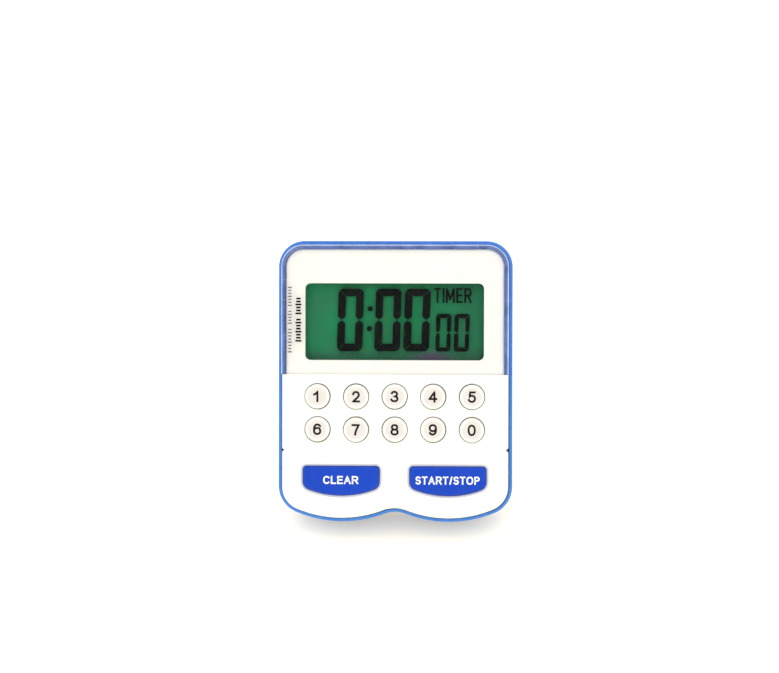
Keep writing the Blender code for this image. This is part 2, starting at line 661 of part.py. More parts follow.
def stand_on_ground():
    """Leans the case back and puts the middle of its bounding box's floor at the origin."""
    CASE_FRAME.rotation_euler = (-LEAN, 0, 0)
    bpy.context.view_layer.update()
    graph = bpy.context.evaluated_depsgraph_get()
    low, high = Vector((9, 9, 9)), Vector((-9, -9, -9))
    for obj in [obj for obj in PARTS.objects if obj is not CASE_FRAME]:
        evaluated = obj.evaluated_get(graph)
        mesh = evaluated.to_mesh()
        for vertex in mesh.vertices:
            point = evaluated.matrix_world @ vertex.co
            low = Vector(map(min, low, point))
            high = Vector(map(max, high, point))
        evaluated.to_mesh_clear()
    CASE_FRAME.location = (-(low.x + high.x) / 2, -(low.y + high.y) / 2, -low.z)


def main():
    white = make_material("white_plastic", (250, 249, 243), 0.4)
    blue = make_material("blue_plastic", (36, 88, 200), 0.35)
    key_white = make_material("key_white", (240, 235, 230), 0.45)
    key_blue = make_material("key_blue", (32, 76, 198), 0.35)
    clear = make_material("clear_plastic", (235, 240, 242), 0.08, alpha=0.25)
    glass = make_material("display_glass", (40, 110, 80), 0.1, alpha=0.5)
    mirror = make_material("display_reflector", (45, 120, 85), 0.5)
    grey = make_material("grey_plastic", (205, 205, 200), 0.5)
    rubber = make_material("grey_rubber", (150, 150, 148), 0.7)
    green = make_material("board_green", (28, 92, 52), 0.5)
    black = make_material("black_plastic", (25, 25, 27), 0.5)
    steel = make_material("steel", (190, 190, 192), 0.3, 1.0)
    brass = make_material("brass", (200, 165, 85), 0.35, 1.0)
    ceramic = make_material("ceramic", (225, 220, 205), 0.6)
    red = make_material("red_lead", (190, 30, 30), 0.5)

    rear_case(blue)
    front_bezel(white)
    clear_window(clear)
    display(glass, clear, mirror, grey, rubber)
    number_keys(key_white)
    wide_keys(key_blue)
    keypad_mat(rubber)
    circuit_board(green)
    board_components(black, steel, black, white)
    buzzer(brass, ceramic, red, black)
    battery_parts(grey, steel)
    battery_door(blue)
    stand(blue)
    magnets(steel)
    switch_knob(white)
    screws(steel)
    stand_on_ground()


clear_scene()
PARTS = make_collection("countdown_timer")
CUTTERS = make_collection("cutters")
CASE_FRAME = bpy.data.objects.new("case_frame", None)
PARTS.objects.link(CASE_FRAME)
CUTTERS.hide_render = True
main()
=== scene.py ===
import json
import math

import bmesh
import bpy
from mathutils import Matrix, Vector


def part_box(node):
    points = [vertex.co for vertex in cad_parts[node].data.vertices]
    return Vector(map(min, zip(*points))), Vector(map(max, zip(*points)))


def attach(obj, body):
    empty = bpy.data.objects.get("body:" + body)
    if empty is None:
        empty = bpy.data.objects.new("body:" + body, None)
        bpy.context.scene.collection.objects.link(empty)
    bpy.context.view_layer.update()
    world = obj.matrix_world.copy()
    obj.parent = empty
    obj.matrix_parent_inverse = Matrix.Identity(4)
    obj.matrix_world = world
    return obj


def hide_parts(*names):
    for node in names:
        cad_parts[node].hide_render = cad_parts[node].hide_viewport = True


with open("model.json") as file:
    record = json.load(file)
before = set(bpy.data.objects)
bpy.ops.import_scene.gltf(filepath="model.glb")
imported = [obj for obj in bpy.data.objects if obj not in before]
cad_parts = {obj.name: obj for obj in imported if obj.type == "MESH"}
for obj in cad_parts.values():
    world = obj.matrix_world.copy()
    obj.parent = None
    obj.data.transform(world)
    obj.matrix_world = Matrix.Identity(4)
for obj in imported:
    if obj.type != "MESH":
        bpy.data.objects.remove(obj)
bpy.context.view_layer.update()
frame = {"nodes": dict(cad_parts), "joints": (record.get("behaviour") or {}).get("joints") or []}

# Lengths are in millimetres in the case's own frame: X right, Y from front to back, Z up along the face.
MM = 0.001

# Case outline and the insets of the pieces that follow it
HALF_WIDTH, HEIGHT = 37.0, 88.8
TOP_RADIUS, CORNER_RADIUS = 8.2, 9.0
LOBE_RADIUS, LOBE_X, NOTCH_RADIUS = 38.0, 16.8, 9.0
STEP_Z = 46.7
FACE_Y, PANEL_Y, WINDOW_Y = -6.4, -5.5, -7.0
RIM_Y, BACK_Y, INNER_BACK_Y = -1.6, 15.0, 13.4
BACK_EDGE = 3.0
LIP_LOW, LIP_HIGH, WALL = 1.05, 1.12, 2.0
SKIRT_LOW, SKIRT_HIGH = 1.25, 2.65
CAP_INSET, CAP_WALL, CAP_BEVEL = 1.25, 1.15, 1.7

# Display, keys and the features of the back
DISPLAY_Z, DISPLAY_W, DISPLAY_H = 63.3, 55.9, 24.1
KEY_PITCH, KEY_ROWS = 12.14, (39.8, 29.4)
KEY_RADIUS, KEY_HOLE, KEY_FRONT_Y = 3.85, 4.1, -7.2
FLANGE_Y = (-4.3, -3.3)
WIDE_HALF, WIDE_TOP, WIDE_FLOOR, WIDE_FRONT_Y = 12.0, 17.8, 8.7, -6.9
GROOVE_Z = 22.9
STAND_HINGE, STAND_HALF, STAND_THICK = (13.7, 57.0), 18.2, 2.0
STAND_OPEN = math.radians(38.0)
DOOR_HALF, DOOR_Z = 28.0, (60.8, 76.2)
CASE_SCREWS = ((-29.8, 81.6), (29.8, 81.6), (-31.0, 22.0), (31.0, 22.0))
MAGNETS = ((-27.5, 35.0), (27.5, 35.0))
BUZZER, SWITCH = (-27.6, 50.0), (25.5, 52.2)
BOARD_MIDDLE = Vector((0.0, 1.1, 44.6)) * MM


def joint(name):
    return next(j for j in frame["joints"] if j["name"] == name)


def case_matrix():
    """Where the case frame lies in the row frame: leaned as the key travel says, placed by the board."""
    axis = joint("clear_key_press")["axis"]
    turn = Matrix.Rotation(math.atan2(axis[2], axis[1]), 4, "X")
    low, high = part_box("circuit_board")
    return Matrix.Translation((low + high) / 2 - turn @ BOARD_MIDDLE) @ turn


CASE = case_matrix()


# ---------- materials ----------

def linear(srgb):
    return tuple(c / 3294.6 if c <= 10 else ((c / 255 + 0.055) / 1.055) ** 2.4 for c in srgb)


class Nodes:
    """Short names for building a material's node tree."""

    def __init__(self, name):
        self.material = bpy.data.materials.new(name)
        self.material.use_nodes = True
        self.tree = self.material.node_tree
        self.shader = self.tree.nodes["Principled BSDF"]
        self.coords = self.add("ShaderNodeTexCoord").outputs["Object"]

    def add(self, kind, **settings):
        node = self.tree.nodes.new(kind)
        for key, value in settings.items():
            if key in node.inputs:
                node.inputs[key].default_value = value
            else:
                setattr(node, key, value)
        return node

    def link(self, output, target):
        self.tree.links.new(output, target)
        return target.node

    def noise(self, scale, detail=2.0, stretch=None):
        """Noise with features about 1 / scale metres across."""
        texture = self.add("ShaderNodeTexNoise", Scale=scale, Detail=detail)
        source = self.coords
        if stretch:
            mapping = self.add("ShaderNodeMapping")
            mapping.inputs["Scale"].default_value = stretch
            self.link(source, mapping.inputs["Vector"])
            source = mapping.outputs["Vector"]
        self.link(source, texture.inputs["Vector"])
        return texture.outputs["Fac"]

    def span(self, value, low, high, from_low=0.3, from_high=0.7):
        node = self.add("ShaderNodeMapRange")
        for key, number in (("From Min", from_low), ("From Max", from_high), ("To Min", low), ("To Max", high)):
            node.inputs[key].default_value = number
        self.link(value, node.inputs["Value"])
        return node.outputs["Result"]

    def blend(self, factor, first, second):
        """Colour between two; each is an sRGB triple or an output."""
        node = self.add("ShaderNodeMix", data_type="RGBA")
        self.link(factor, node.inputs["Factor"])
        for name, colour in (("A", first), ("B", second)):
            socket = next(s for s in node.inputs if s.name == name and s.type == "RGBA")
            if isinstance(colour, bpy.types.NodeSocket):
                self.link(colour, socket)
            else:
                socket.default_value = (*linear(colour), 1.0)
        return next(s for s in node.outputs if s.type == "RGBA")

    def bump(self, height, depth, strength=1.0):
        node = self.add("ShaderNodeBump", Strength=strength, Distance=depth)
        self.link(height, node.inputs["Height"])
        self.link(node.outputs["Normal"], self.shader.inputs["Normal"])


def plastic(name, colour, shade, roughness, grain=0.0, scale=2200.0, gloss=0.5, coat=0.0):
    """Moulded plastic: slow drift between two close colours, uneven gloss and a fine grain."""
    n = Nodes(name)
    drift = n.noise(55.0, 3.0)
    n.link(n.blend(n.span(drift, 0.0, 1.0), colour, shade), n.shader.inputs["Base Color"])
    n.link(n.span(n.noise(420.0, 4.0), roughness * 0.85, roughness * 1.2), n.shader.inputs["Roughness"])
    n.shader.inputs["Specular IOR Level"].default_value = gloss
    n.shader.inputs["Coat Weight"].default_value = coat
    n.shader.inputs["Coat Roughness"].default_value = 0.08
    if grain:
        n.bump(n.noise(scale, 2.0), grain * MM)
    return n.material


def metal(name, colour, roughness, stretch=(1, 1, 1), grain=0.004):
    """Plated or drawn metal with fine marks, drawn out along one axis where stretch says so."""
    n = Nodes(name)
    marks = n.noise(900.0, 4.0, stretch)
    dark = tuple(c * 0.86 for c in colour)
    n.link(n.blend(n.span(marks, 0.0, 1.0), colour, dark), n.shader.inputs["Base Color"])
    n.link(n.span(marks, roughness * 0.7, roughness * 1.3), n.shader.inputs["Roughness"])
    n.shader.inputs["Metallic"].default_value = 1.0
    n.bump(marks, grain * MM)
    return n.material


def clear(name, tint, haze, haze_and_painted_light_colour, gloss_roughness=0.03, head_on=0.035):
    """Thin clear plastic: light passes through, with a little haze and a reflection that grows to the edge. On the
    cap's walls and bevel the haze colour is painted light: a painted blue reflection of the rim and a painted
    highlight.
    """
    n = Nodes(name)
    tree = n.tree
    through = n.add("ShaderNodeBsdfTransparent")
    through.inputs["Color"].default_value = (*linear(tint), 1.0)
    shine = n.add("ShaderNodeBsdfGlossy", Roughness=gloss_roughness)
    facing = n.add("ShaderNodeLayerWeight", Blend=0.5).outputs["Facing"]
    steep = n.add("ShaderNodeMath", operation="POWER")
    steep.inputs[1].default_value = 5.0
    n.link(facing, steep.inputs[0])
    edge = n.span(steep.outputs["Value"], head_on, 0.9, 0.0, 1.0)
    # For the cap's walls and bevel this haze is painted light rather than cloudiness
    haze_and_painted_light = n.span(n.noise(160.0, 3.0), haze * 0.7, haze * 1.3)
    body = n.add("ShaderNodeMixShader")
    n.shader.inputs["Base Color"].default_value = (*linear(haze_and_painted_light_colour), 1.0)
    n.shader.inputs["Roughness"].default_value = 0.3
    n.link(haze_and_painted_light, body.inputs["Fac"])
    n.link(through.outputs["BSDF"], body.inputs[1])
    n.link(n.shader.outputs["BSDF"], body.inputs[2])
    top = n.add("ShaderNodeMixShader")
    n.link(edge, top.inputs["Fac"])
    n.link(body.outputs["Shader"], top.inputs[1])
    n.link(shine.outputs["BSDF"], top.inputs[2])
    n.link(top.outputs["Shader"], tree.nodes["Material Output"].inputs["Surface"])
    return n.material


def display_green():
    """The reflector: green, with a painted highlight that makes it brighter on the left and painted shade that makes it
    deeper to the right; duller towards the bottom, with a faint grey bloom.
    """
    n = Nodes("display_green")
    place = n.add("ShaderNodeSeparateXYZ")
    n.link(n.coords, place.inputs["Vector"])
    across, up = place.outputs["X"], place.outputs["Z"]
    half = DISPLAY_W / 2 * MM
    # Painted highlight: lighter green towards the left, where more light falls
    left = n.span(across, 1.0, 0.0, -half * 0.95, -half * 0.35)
    base = n.blend(left, (26, 118, 74), (30, 131, 87))
    # Painted shade: deeper green towards the right
    right = n.span(across, 0.0, 1.0, half * 0.2, half * 0.9)
    base = n.blend(right, base, (33, 111, 77))
    low = n.span(up, 1.0, 0.0, (DISPLAY_Z - 12.2) * MM, (DISPLAY_Z - 7.0) * MM)
    base = n.blend(n.span(low, 0.0, 0.8, 0.0, 1.0), base, (54, 100, 76))
    bloom = n.span(n.noise(60.0, 1.0), 0.0, 0.4, 0.5, 0.75)
    base = n.blend(bloom, base, (54, 88, 70))
    spot = n.add("ShaderNodeVectorMath", operation="MULTIPLY_ADD")
    spot.inputs[1].default_value = (1 / (8.0 * MM), 0.0, 1 / (3.0 * MM))
    spot.inputs[2].default_value = (-11.5 / 8.0, 0.0, -51.8 / 3.0)
    n.link(n.coords, spot.inputs[0])
    reach = n.add("ShaderNodeVectorMath", operation="LENGTH")
    n.link(spot.outputs["Vector"], reach.inputs[0])
    base = n.blend(n.span(reach.outputs["Value"], 0.85, 0.0, 0.2, 1.0), base, (92, 76, 106))
    n.shader.inputs["Specular IOR Level"].default_value = 0.05
    n.link(base, n.shader.inputs["Base Color"])
    n.link(n.span(n.noise(3500.0, 2.0), 0.45, 0.6), n.shader.inputs["Roughness"])
    n.bump(n.noise(4200.0, 2.0), 0.01 * MM)
    return n.material


def key_white():
    """Number key plastic: faintly pink grey, with a painted highlight that makes the raised rim brighter."""
    n = Nodes("key_white")
    flat = n.add("ShaderNodeVectorMath", operation="MULTIPLY")
    flat.inputs[1].default_value = (1.0, 0.0, 1.0)
    n.link(n.coords, flat.inputs[0])
    reach = n.add("ShaderNodeVectorMath", operation="LENGTH")
    n.link(flat.outputs["Vector"], reach.inputs[0])
    base = n.blend(n.span(n.noise(300.0), 0.0, 1.0), (212, 206, 201), (208, 202, 197))
    # Painted highlight: the raised rim is painted lighter, where light catches it
    rim = n.span(reach.outputs["Value"], 0.0, 1.0, 2.7 * MM, 3.4 * MM)
    n.link(n.blend(rim, base, (231, 229, 224)), n.shader.inputs["Base Color"])
    n.link(n.span(n.noise(420.0, 4.0), 0.32, 0.44), n.shader.inputs["Roughness"])
    n.shader.inputs["Specular IOR Level"].default_value = 0.35
    n.bump(n.noise(3000.0), 0.002 * MM)
    return n.material


def make_materials():
    made = {
        "white": plastic("shell_white", (236, 235, 228), (234, 233, 224), 0.42, 0.0025, 2600.0, 0.35),
        "key_white": key_white(),
        "blue": plastic("shell_blue", (68, 127, 210), (63, 121, 204), 0.26, 0.002, 1800.0, 0.45),
        "blue_back": plastic("shell_blue_back", (60, 118, 206), (56, 112, 199), 0.5, 0.03, 2400.0, 0.4),
        "key_blue": plastic("key_blue", (10, 62, 180), (8, 58, 172), 0.34, 0.002, 2600.0, 0.25),
        # Painted shade: the grey-lavender stands in for shade and bounced blue light on a white chamfer
        "surround": plastic("surround_painted_shade", (193, 195, 206), (188, 190, 203), 0.4, 0.002, 2600.0, 0.4),
        "window": clear("window_clear", (254, 254, 255), 0.003, (240, 242, 246), 0.03, 0.02),
        # Side walls: painted reflection, the blue of the rim seen through the wall painted into the haze
        "window_wall_painted_reflection": clear("window_wall_painted_reflection", (205, 215, 240), 0.45, (112, 138, 208), 0.08),
        # Outer bevel: painted highlight, a bright line painted into the haze
        "window_edge_painted_highlight": clear("window_edge_painted_highlight", (225, 232, 250), 0.8, (186, 205, 244), 0.08),
        "window_rib": clear("window_rib", (235, 240, 250), 0.8, (235, 238, 246), 0.1),
        "film": clear("film_clear", (254, 254, 254), 0.002, (240, 240, 238), 0.05, 0.008),
        "lcd_glass": clear("lcd_glass", (252, 254, 252), 0.003, (90, 130, 110), 0.03, 0.012),
        "green": display_green(),
        "segment": plastic("segment_black", (5, 11, 8), (8, 14, 10), 0.5, 0.0, 2000.0, 0.02),
        "ink_black": plastic("ink_black", (12, 11, 11), (17, 16, 16), 0.5, 0.002, 3000.0, 0.15),
        "ink_grey": plastic("ink_grey", (92, 90, 88), (104, 102, 100), 0.5, 0.002, 3000.0, 0.3),
        "ink_white": plastic("ink_white", (236, 238, 240), (229, 232, 236), 0.45, 0.002, 3000.0, 0.3),
        "rubber": plastic("silicone_grey", (150, 149, 146), (141, 140, 138), 0.7, 0.02, 1500.0, 0.3),
        "frame": plastic("inner_grey", (205, 204, 198), (196, 195, 189), 0.5, 0.01, 1500.0, 0.4),
        "black": plastic("epoxy_black", (20, 20, 22), (28, 28, 30), 0.35, 0.01, 700.0, 0.5),
        "knob": plastic("knob_white", (222, 221, 215), (216, 215, 208), 0.45, 0.008, 2400.0, 0.4),
        "red": plastic("lead_red", (168, 28, 26), (150, 24, 22), 0.4, 0.006, 1600.0, 0.5),
        "ceramic": plastic("ceramic_silver", (206, 203, 190), (192, 189, 176), 0.35, 0.01, 1500.0, 0.5),
        "sleeve": plastic("battery_sleeve", (64, 66, 70), (54, 56, 60), 0.28, 0.003, 900.0, 0.5, 0.4),
        "steel": metal("nickel_steel", (196, 196, 198), 0.28),
        "nickel": metal("magnet_nickel", (202, 202, 205), 0.2, (1, 1, 6)),
        "brass": metal("brass", (214, 178, 96), 0.32, (6, 1, 1)),
        "board": circuit_green(),
    }
    return made


def circuit_green():
    """Solder mask with the faint pattern of tracks under it."""
    n = Nodes("board_green")
    tracks = n.add("ShaderNodeTexBrick", Scale=260.0)
    tracks.inputs["Mortar Size"].default_value = 0.03
    n.link(n.coords, tracks.inputs["Vector"])
    base = n.blend(tracks.outputs["Fac"], (22, 82, 48), (34, 110, 64))
    n.link(base, n.shader.inputs["Base Color"])
    n.link(n.span(n.noise(700.0), 0.3, 0.45), n.shader.inputs["Roughness"])
    n.bump(tracks.outputs["Fac"], 0.02 * MM)
    return n.material


MATERIALS = make_materials()


# ---------- mesh helpers ----------

def arc(centre, radius, start, end, steps):
    """Points on an arc, both ends included, with angles in degrees."""
    turns = [math.radians(start + (end - start) * i / steps) for i in range(steps + 1)]
    return [(centre[0] + radius * math.cos(t), centre[1] + radius * math.sin(t)) for t in turns]


def add_loft(bm, rings, caps=None):
    """Joins rings of equal length, each a list of (x, y, z), and closes both ends with the cap index groups."""
    count = len(rings[0])
    rows = [[bm.verts.new(Vector(point) * MM) for point in ring] for ring in rings]
    for near, far in zip(rows, rows[1:]):
        for i in range(count):
            j = (i + 1) % count
            bm.faces.new((near[i], near[j], far[j], far[i]))
    for row in (rows[0], rows[-1]):
        for group in caps or [range(count)]:
            bm.faces.new([row[i] for i in group])


def add_box(bm, x, y, z):
    size = Vector((x[1] - x[0], y[1] - y[0], z[1] - z[0])) * MM
    middle = Vector((x[0] + x[1], y[0] + y[1], z[0] + z[1])) * MM / 2
    bmesh.ops.create_cube(bm, size=1.0, matrix=Matrix.Translation(middle) @ Matrix.Diagonal((*size, 1.0)))


def add_turned(bm, profile, spot, steps=48, side=1):
    """A profile of (radius, depth) turned about the Y axis through a spot (x, z) of the face."""
    rings = []
    for radius, y in profile:
        rings.append([(x, y, z) for x, z in arc(spot, max(radius, 0.002), 0, side * 360 * (1 - 1 / steps), steps - 1)])
    add_loft(bm, rings)


def to_object(bm, name, material=None, place=None, smooth=40):
    bmesh.ops.remove_doubles(bm, verts=bm.verts, dist=2e-6)
    bmesh.ops.recalc_face_normals(bm, faces=bm.faces)
    mesh = bpy.data.meshes.new(name)
    bm.to_mesh(mesh)
    bm.free()
    if smooth:
        mesh.shade_smooth()
        mesh.set_sharp_from_angle(angle=math.radians(smooth))
    obj = bpy.data.objects.new(name, mesh)
    bpy.context.scene.collection.objects.link(obj)
    obj.matrix_world = place or CASE
    if material:
        mesh.materials.append(MATERIALS[material])
    return obj


def cut(obj, bm, operation="DIFFERENCE"):
    """Cuts a bmesh out of a piece, or joins it on, and leaves a plain mesh."""
    cutter = to_object(bm, "cutter", place=obj.matrix_world.copy(), smooth=0)
    modifier = obj.modifiers.new("cut", "BOOLEAN")
    modifier.operation = operation
    modifier.object = cutter
    modifier.solver = "EXACT"
    settle(obj)
    bpy.data.objects.remove(cutter, do_unlink=True)


def settle(obj, smooth=40):
    """Applies a piece's modifiers."""
    bpy.context.view_layer.update()
    graph = bpy.context.evaluated_depsgraph_get()
    mesh = bpy.data.meshes.new_from_object(obj.evaluated_get(graph))
    obj.modifiers.clear()
    obj.data = mesh
    mesh.shade_smooth()
    mesh.set_sharp_from_angle(angle=math.radians(smooth))


def flatten_normals(obj):
    """Keeps broad flat faces flat in the shading, next to their rounded edges."""
    modifier = obj.modifiers.new("Weighted", "WEIGHTED_NORMAL")
    modifier.keep_sharp = True


def show(obj, body, slot, *nodes):
    """Puts a piece on its body and hides the CAD nodes that it stands for; slot is not used."""
    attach(obj, body)
    if nodes:
        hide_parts(*nodes)
    return obj


# ---------- outlines ----------

def case_sides(low, high):
    """The case outline moved in by low below the step and high above it: lower right, top, lower left."""
    reach = LOBE_RADIUS - CORNER_RADIUS
    corner_x = HALF_WIDTH - CORNER_RADIUS
    corner_z = LOBE_RADIUS - math.sqrt(reach ** 2 - (corner_x - LOBE_X) ** 2)
    meet = math.degrees(math.asin((corner_x - LOBE_X) / reach)) - 90
    notch_reach = LOBE_RADIUS + NOTCH_RADIUS
    notch_z = LOBE_RADIUS - math.sqrt(notch_reach ** 2 - LOBE_X ** 2)
    notch = math.degrees(math.asin(LOBE_X / notch_reach))
    right = arc((0, notch_z), NOTCH_RADIUS + low, 90, 90 - notch, 7)
    right += arc((LOBE_X, LOBE_RADIUS), LOBE_RADIUS - low, -90 - notch, meet, 26)[1:]
    right += arc((corner_x, corner_z), CORNER_RADIUS - low, meet, 0, 18)[1:]
    right.append((HALF_WIDTH - low, STEP_Z))
    top_x, top_z = HALF_WIDTH - TOP_RADIUS, HEIGHT - TOP_RADIUS
    top = [(HALF_WIDTH - high, STEP_Z)] + arc((top_x, top_z), TOP_RADIUS - high, 0, 90, 20)
    top += [(-x, z) for x, z in reversed(top)]
    left = [(-x, z) for x, z in reversed(right)][:-1]
    return right, top, left


def case_ring(low, high):
    """A ring of the case outline; low and high are (y, inset) below and above the step."""
    right, top, left = case_sides(low[1], high[1])
    below = [(x, low[0], z) for x, z in right], [(x, low[0], z) for x, z in left]
    return below[0] + [(x, high[0], z) for x, z in top] + below[1]


def case_caps():
    right, top, left = case_sides(0, 0)
    a, b, c = len(right), len(right) + len(top), len(right) + len(top) + len(left)
    return [[*range(0, a), *range(b, c)], [a - 1, a, b - 1, b], [*range(a, b)]]


def rounded_rectangle(half_x, half_z, centre, radius, steps=8):
    points = []
    for i, (sx, sz) in enumerate(((1, 1), (-1, 1), (-1, -1), (1, -1))):
        middle = (centre[0] + sx * (half_x - radius), centre[1] + sz * (half_z - radius))
        points += arc(middle, radius, 90 * i, 90 * i + 90, steps)
    return points


def window_outline(inset, floor):
    top_x, top_z = HALF_WIDTH - TOP_RADIUS, HEIGHT - TOP_RADIUS
    points = [(HALF_WIDTH - inset, floor)] + arc((top_x, top_z), TOP_RADIUS - inset, 0, 90, 20)
    return points + [(-x, z) for x, z in reversed(points)]


def wide_outline(inset, top_corner=1.1, low_corner=2.6):
    """Wide key about x = 0: straight top and sides, and a lower edge that runs parallel to the lobe below it."""
    half = WIDE_HALF - inset
    top = WIDE_TOP - inset
    bow = LOBE_RADIUS - WIDE_FLOOR - inset
    top_r = max(top_corner - inset, 0.25)
    low_r = low_corner - inset
    low_x = half - low_r
    low_z = LOBE_RADIUS - math.sqrt((bow - low_r) ** 2 - low_x ** 2)
    meet = math.degrees(math.asin(low_x / (bow - low_r)))
    right = arc((0, LOBE_RADIUS), bow, -90, meet - 90, 16)
    right += arc((low_x, low_z), low_r, meet - 90, 0, 12)[1:]
    right += arc((half - top_r, top - top_r), top_r, 0, 90, 8)
    return right + [(-x, z) for x, z in reversed(right)][:-1]


def at_depth(outline, y, shift=0.0):
    return [(x + shift, y, z) for x, z in outline]


def key_places():
    columns = [KEY_PITCH * (i - 2) for i in range(5)]
    return [(x, z) for z in KEY_ROWS for x in columns]


# ---------- shells ----------

def rear_shell():
    """Blue rear shell: rim, rounded back, and the wells for stand, door, magnets, screws, sound and switch."""
    profile = arc((BACK_Y - BACK_EDGE, BACK_EDGE), BACK_EDGE, 0, -90, 12)
    profile += arc((RIM_Y + 0.35, 0.35), 0.35, 270, 180, 5)
    rings = [case_ring(point, point) for point in profile]
    rings += [case_ring((RIM_Y, LIP_LOW - 0.12), (RIM_Y + 0.02, LIP_HIGH - 0.12))]
    rings += [case_ring((RIM_Y + 0.12, LIP_LOW), (RIM_Y + 0.14, LIP_HIGH)),
              case_ring((1.5, LIP_LOW), (1.45, LIP_HIGH))]
    rings += [case_ring((1.5, WALL), (1.5, WALL)), case_ring((INNER_BACK_Y, WALL), (INNER_BACK_Y, WALL))]
    bm = bmesh.new()
    add_loft(bm, rings, case_caps())
    shell = to_object(bm, "rear_shell", "blue")

    bm = bmesh.new()
    add_box(bm, (-20.2, 20.2), (11.0, 13.9), (5.9, 60.2))
    for spot in MAGNETS:
        add_turned(bm, ((6.9, 13.9), (6.9, 11.0)), spot, 32)
    for spot in CASE_SCREWS:
        add_turned(bm, ((2.8, 13.9), (2.8, 2.2)), spot, 24)
    cut(shell, bm, "UNION")
    bm = bmesh.new()
    add_box(bm, (-27.6, 27.6), (1.9, 13.9), (61.3, 75.7))
    cut(shell, bm, "UNION")
    bm = bmesh.new()
    add_box(bm, (-26.6, 26.6), (2.7, 16.0), (62.3, 74.7))
    cut(shell, bm)

    # Wells with a softened mouth: each outline flares by 0.25 at the surface
    for half_x, half_z, middle, radius, floor in (
        (DOOR_HALF + 0.3, 8.3, (0, 68.6), 1.3, 13.45),
        (STAND_HALF + 0.35, 25.75, (0, 32.65), 1.6, 12.4),
    ):
        bm = bmesh.new()
        levels = ((16.0, -0.25), (BACK_Y, -0.25), (BACK_Y - 0.08, -0.09), (BACK_Y - 0.25, 0.0), (floor, 0.0))
        add_loft(bm, [at_depth(rounded_rectangle(half_x - i, half_z - i, middle, radius - i), y) for y, i in levels])
        cut(shell, bm)
    bm = bmesh.new()
    for spot in MAGNETS:
        add_turned(bm, ((6.15, 16.0), (6.15, BACK_Y), (5.9, BACK_Y - 0.25), (5.9, 12.9)), spot, 56)
    for spot in CASE_SCREWS:
        add_turned(bm, ((2.7, 16.0), (2.7, BACK_Y), (2.4, BACK_Y - 0.3), (2.4, 7.6), (1.2, 7.6), (1.2, 0.0)), spot, 36)
    for i in range(6):
        turn = i * math.pi / 3
        spot = (BUZZER[0] + 3 * math.cos(turn), BUZZER[1] + 3 * math.sin(turn))
        add_turned(bm, ((0.8, 16.0), (0.8, BACK_Y), (0.6, BACK_Y - 0.2), (0.6, 12.0)), spot, 20)
    cut(shell, bm)

    bm = bmesh.new()
    slot = (SWITCH[0], SWITCH[1] + 1.25)
    levels = ((16.0, -1.6), (BACK_Y, -1.6), (BACK_Y - 0.6, -0.6), (BACK_Y - 0.6, 0.0), (12.0, 0.0))
    add_loft(bm, [at_depth(rounded_rectangle(1.9 - i, 3.65 - i, slot, 0.4 - i), y) for y, i in levels])
    cut(shell, bm)
    bm = bmesh.new()
    add_loft(bm, [at_depth(rounded_rectangle(3.4 - i, 4.8 - i, (19.0, 17.0), 1.4 - i), y)
                  for y, i in ((16.0, -0.25), (BACK_Y, -0.25), (BACK_Y - 0.25, 0.0), (13.5, 0.6))])
    cut(shell, bm)
    bm = bmesh.new()
    for side in (-1, 1):
        rings = [[(x, STAND_HINGE[0] + y, STAND_HINGE[1] + z) for y, z in arc((0, 0), 1.05, 0, 345, 23)]
                 for x in (side * 17.0, side * 19.9)]
        add_loft(bm, rings)
    cut(shell, bm)
    flatten_normals(shell)
    show(shell, "case", "blue_shell", "rear_case")


def front_shell():
    """White front shell with rounded edges, the face groove, and softened display and key openings."""
    lower = arc((FACE_Y + 1.2, SKIRT_LOW + 1.45), 1.2, 180, 270, 9)
    upper = arc((PANEL_Y + 0.6, SKIRT_HIGH + 0.6), 0.6, 180, 270, 9)
    lower += [(RIM_Y, SKIRT_LOW), (1.2, SKIRT_LOW), (1.2, SKIRT_LOW + 1.4), (FACE_Y + 1.8, SKIRT_LOW + 1.4)]
    upper += [(RIM_Y + 0.1, SKIRT_HIGH), (1.0, SKIRT_HIGH), (1.0, SKIRT_HIGH + 1.4),
              (PANEL_Y + 1.5, SKIRT_HIGH + 1.4)]
    bm = bmesh.new()
    add_loft(bm, [case_ring(low, high) for low, high in zip(lower, upper)], case_caps())
    shell = to_object(bm, "front_shell", "white")

    bm = bmesh.new()
    levels = ((-8.0, -0.3), (PANEL_Y, -0.3), (PANEL_Y + 0.09, -0.09), (PANEL_Y + 0.3, 0.0), (-2.0, 0.0))
    add_loft(bm, [at_depth(rounded_rectangle(DISPLAY_W / 2 + 0.15 - i, DISPLAY_H / 2 - i, (-0.15, DISPLAY_Z), 1.6 - i), y)
                  for y, i in levels])
    cut(shell, bm)
    bm = bmesh.new()
    mouth = [(-8.0, KEY_HOLE + 0.3)]
    mouth += [(FACE_Y + 0.3 + y, KEY_HOLE + 0.3 + r) for y, r in arc((0, 0), 0.3, 180, 270, 4)]
    profile = [(r, y) for y, r in mouth] + [(KEY_HOLE, -3.0)]
    for spot in key_places():
        add_turned(bm, profile, spot, 56)
    cut(shell, bm)
    bm = bmesh.new()
    levels = ((-8.0, -0.86), (FACE_Y, -0.86), (FACE_Y + 0.08, -0.76), (FACE_Y + 0.45, -0.34), (-3.0, -0.34))
    for side in (-1, 1):
        add_loft(bm, [at_depth(wide_outline(inset), y, side * LOBE_X) for y, inset in levels])
    cut(shell, bm)
    bm = bmesh.new()
    flank = ((-8.0, 1.5), (FACE_Y, 1.05), (FACE_Y + 0.03, 0.95), (FACE_Y + 0.5, 0.12))
    notch = list(flank) + [(y, -z) for y, z in reversed(flank)]
    add_loft(bm, [[(x, y, GROOVE_Z + z) for y, z in notch] for x in (-45.0, 45.0)])
    cut(shell, bm)
    bm = bmesh.new()
    for side in (-1, 1):
        add_loft(bm, [[(side * x, y, GROOVE_Z + z) for x, z in ((38.0, 2.2), (38.0, -2.2), (34.85, -0.12), (34.85, 0.12))]
                      for y in (-8.0, 2.0)])
    cut(shell, bm)
    flatten_normals(shell)
    show(shell, "case", "white_shell", "front_bezel")


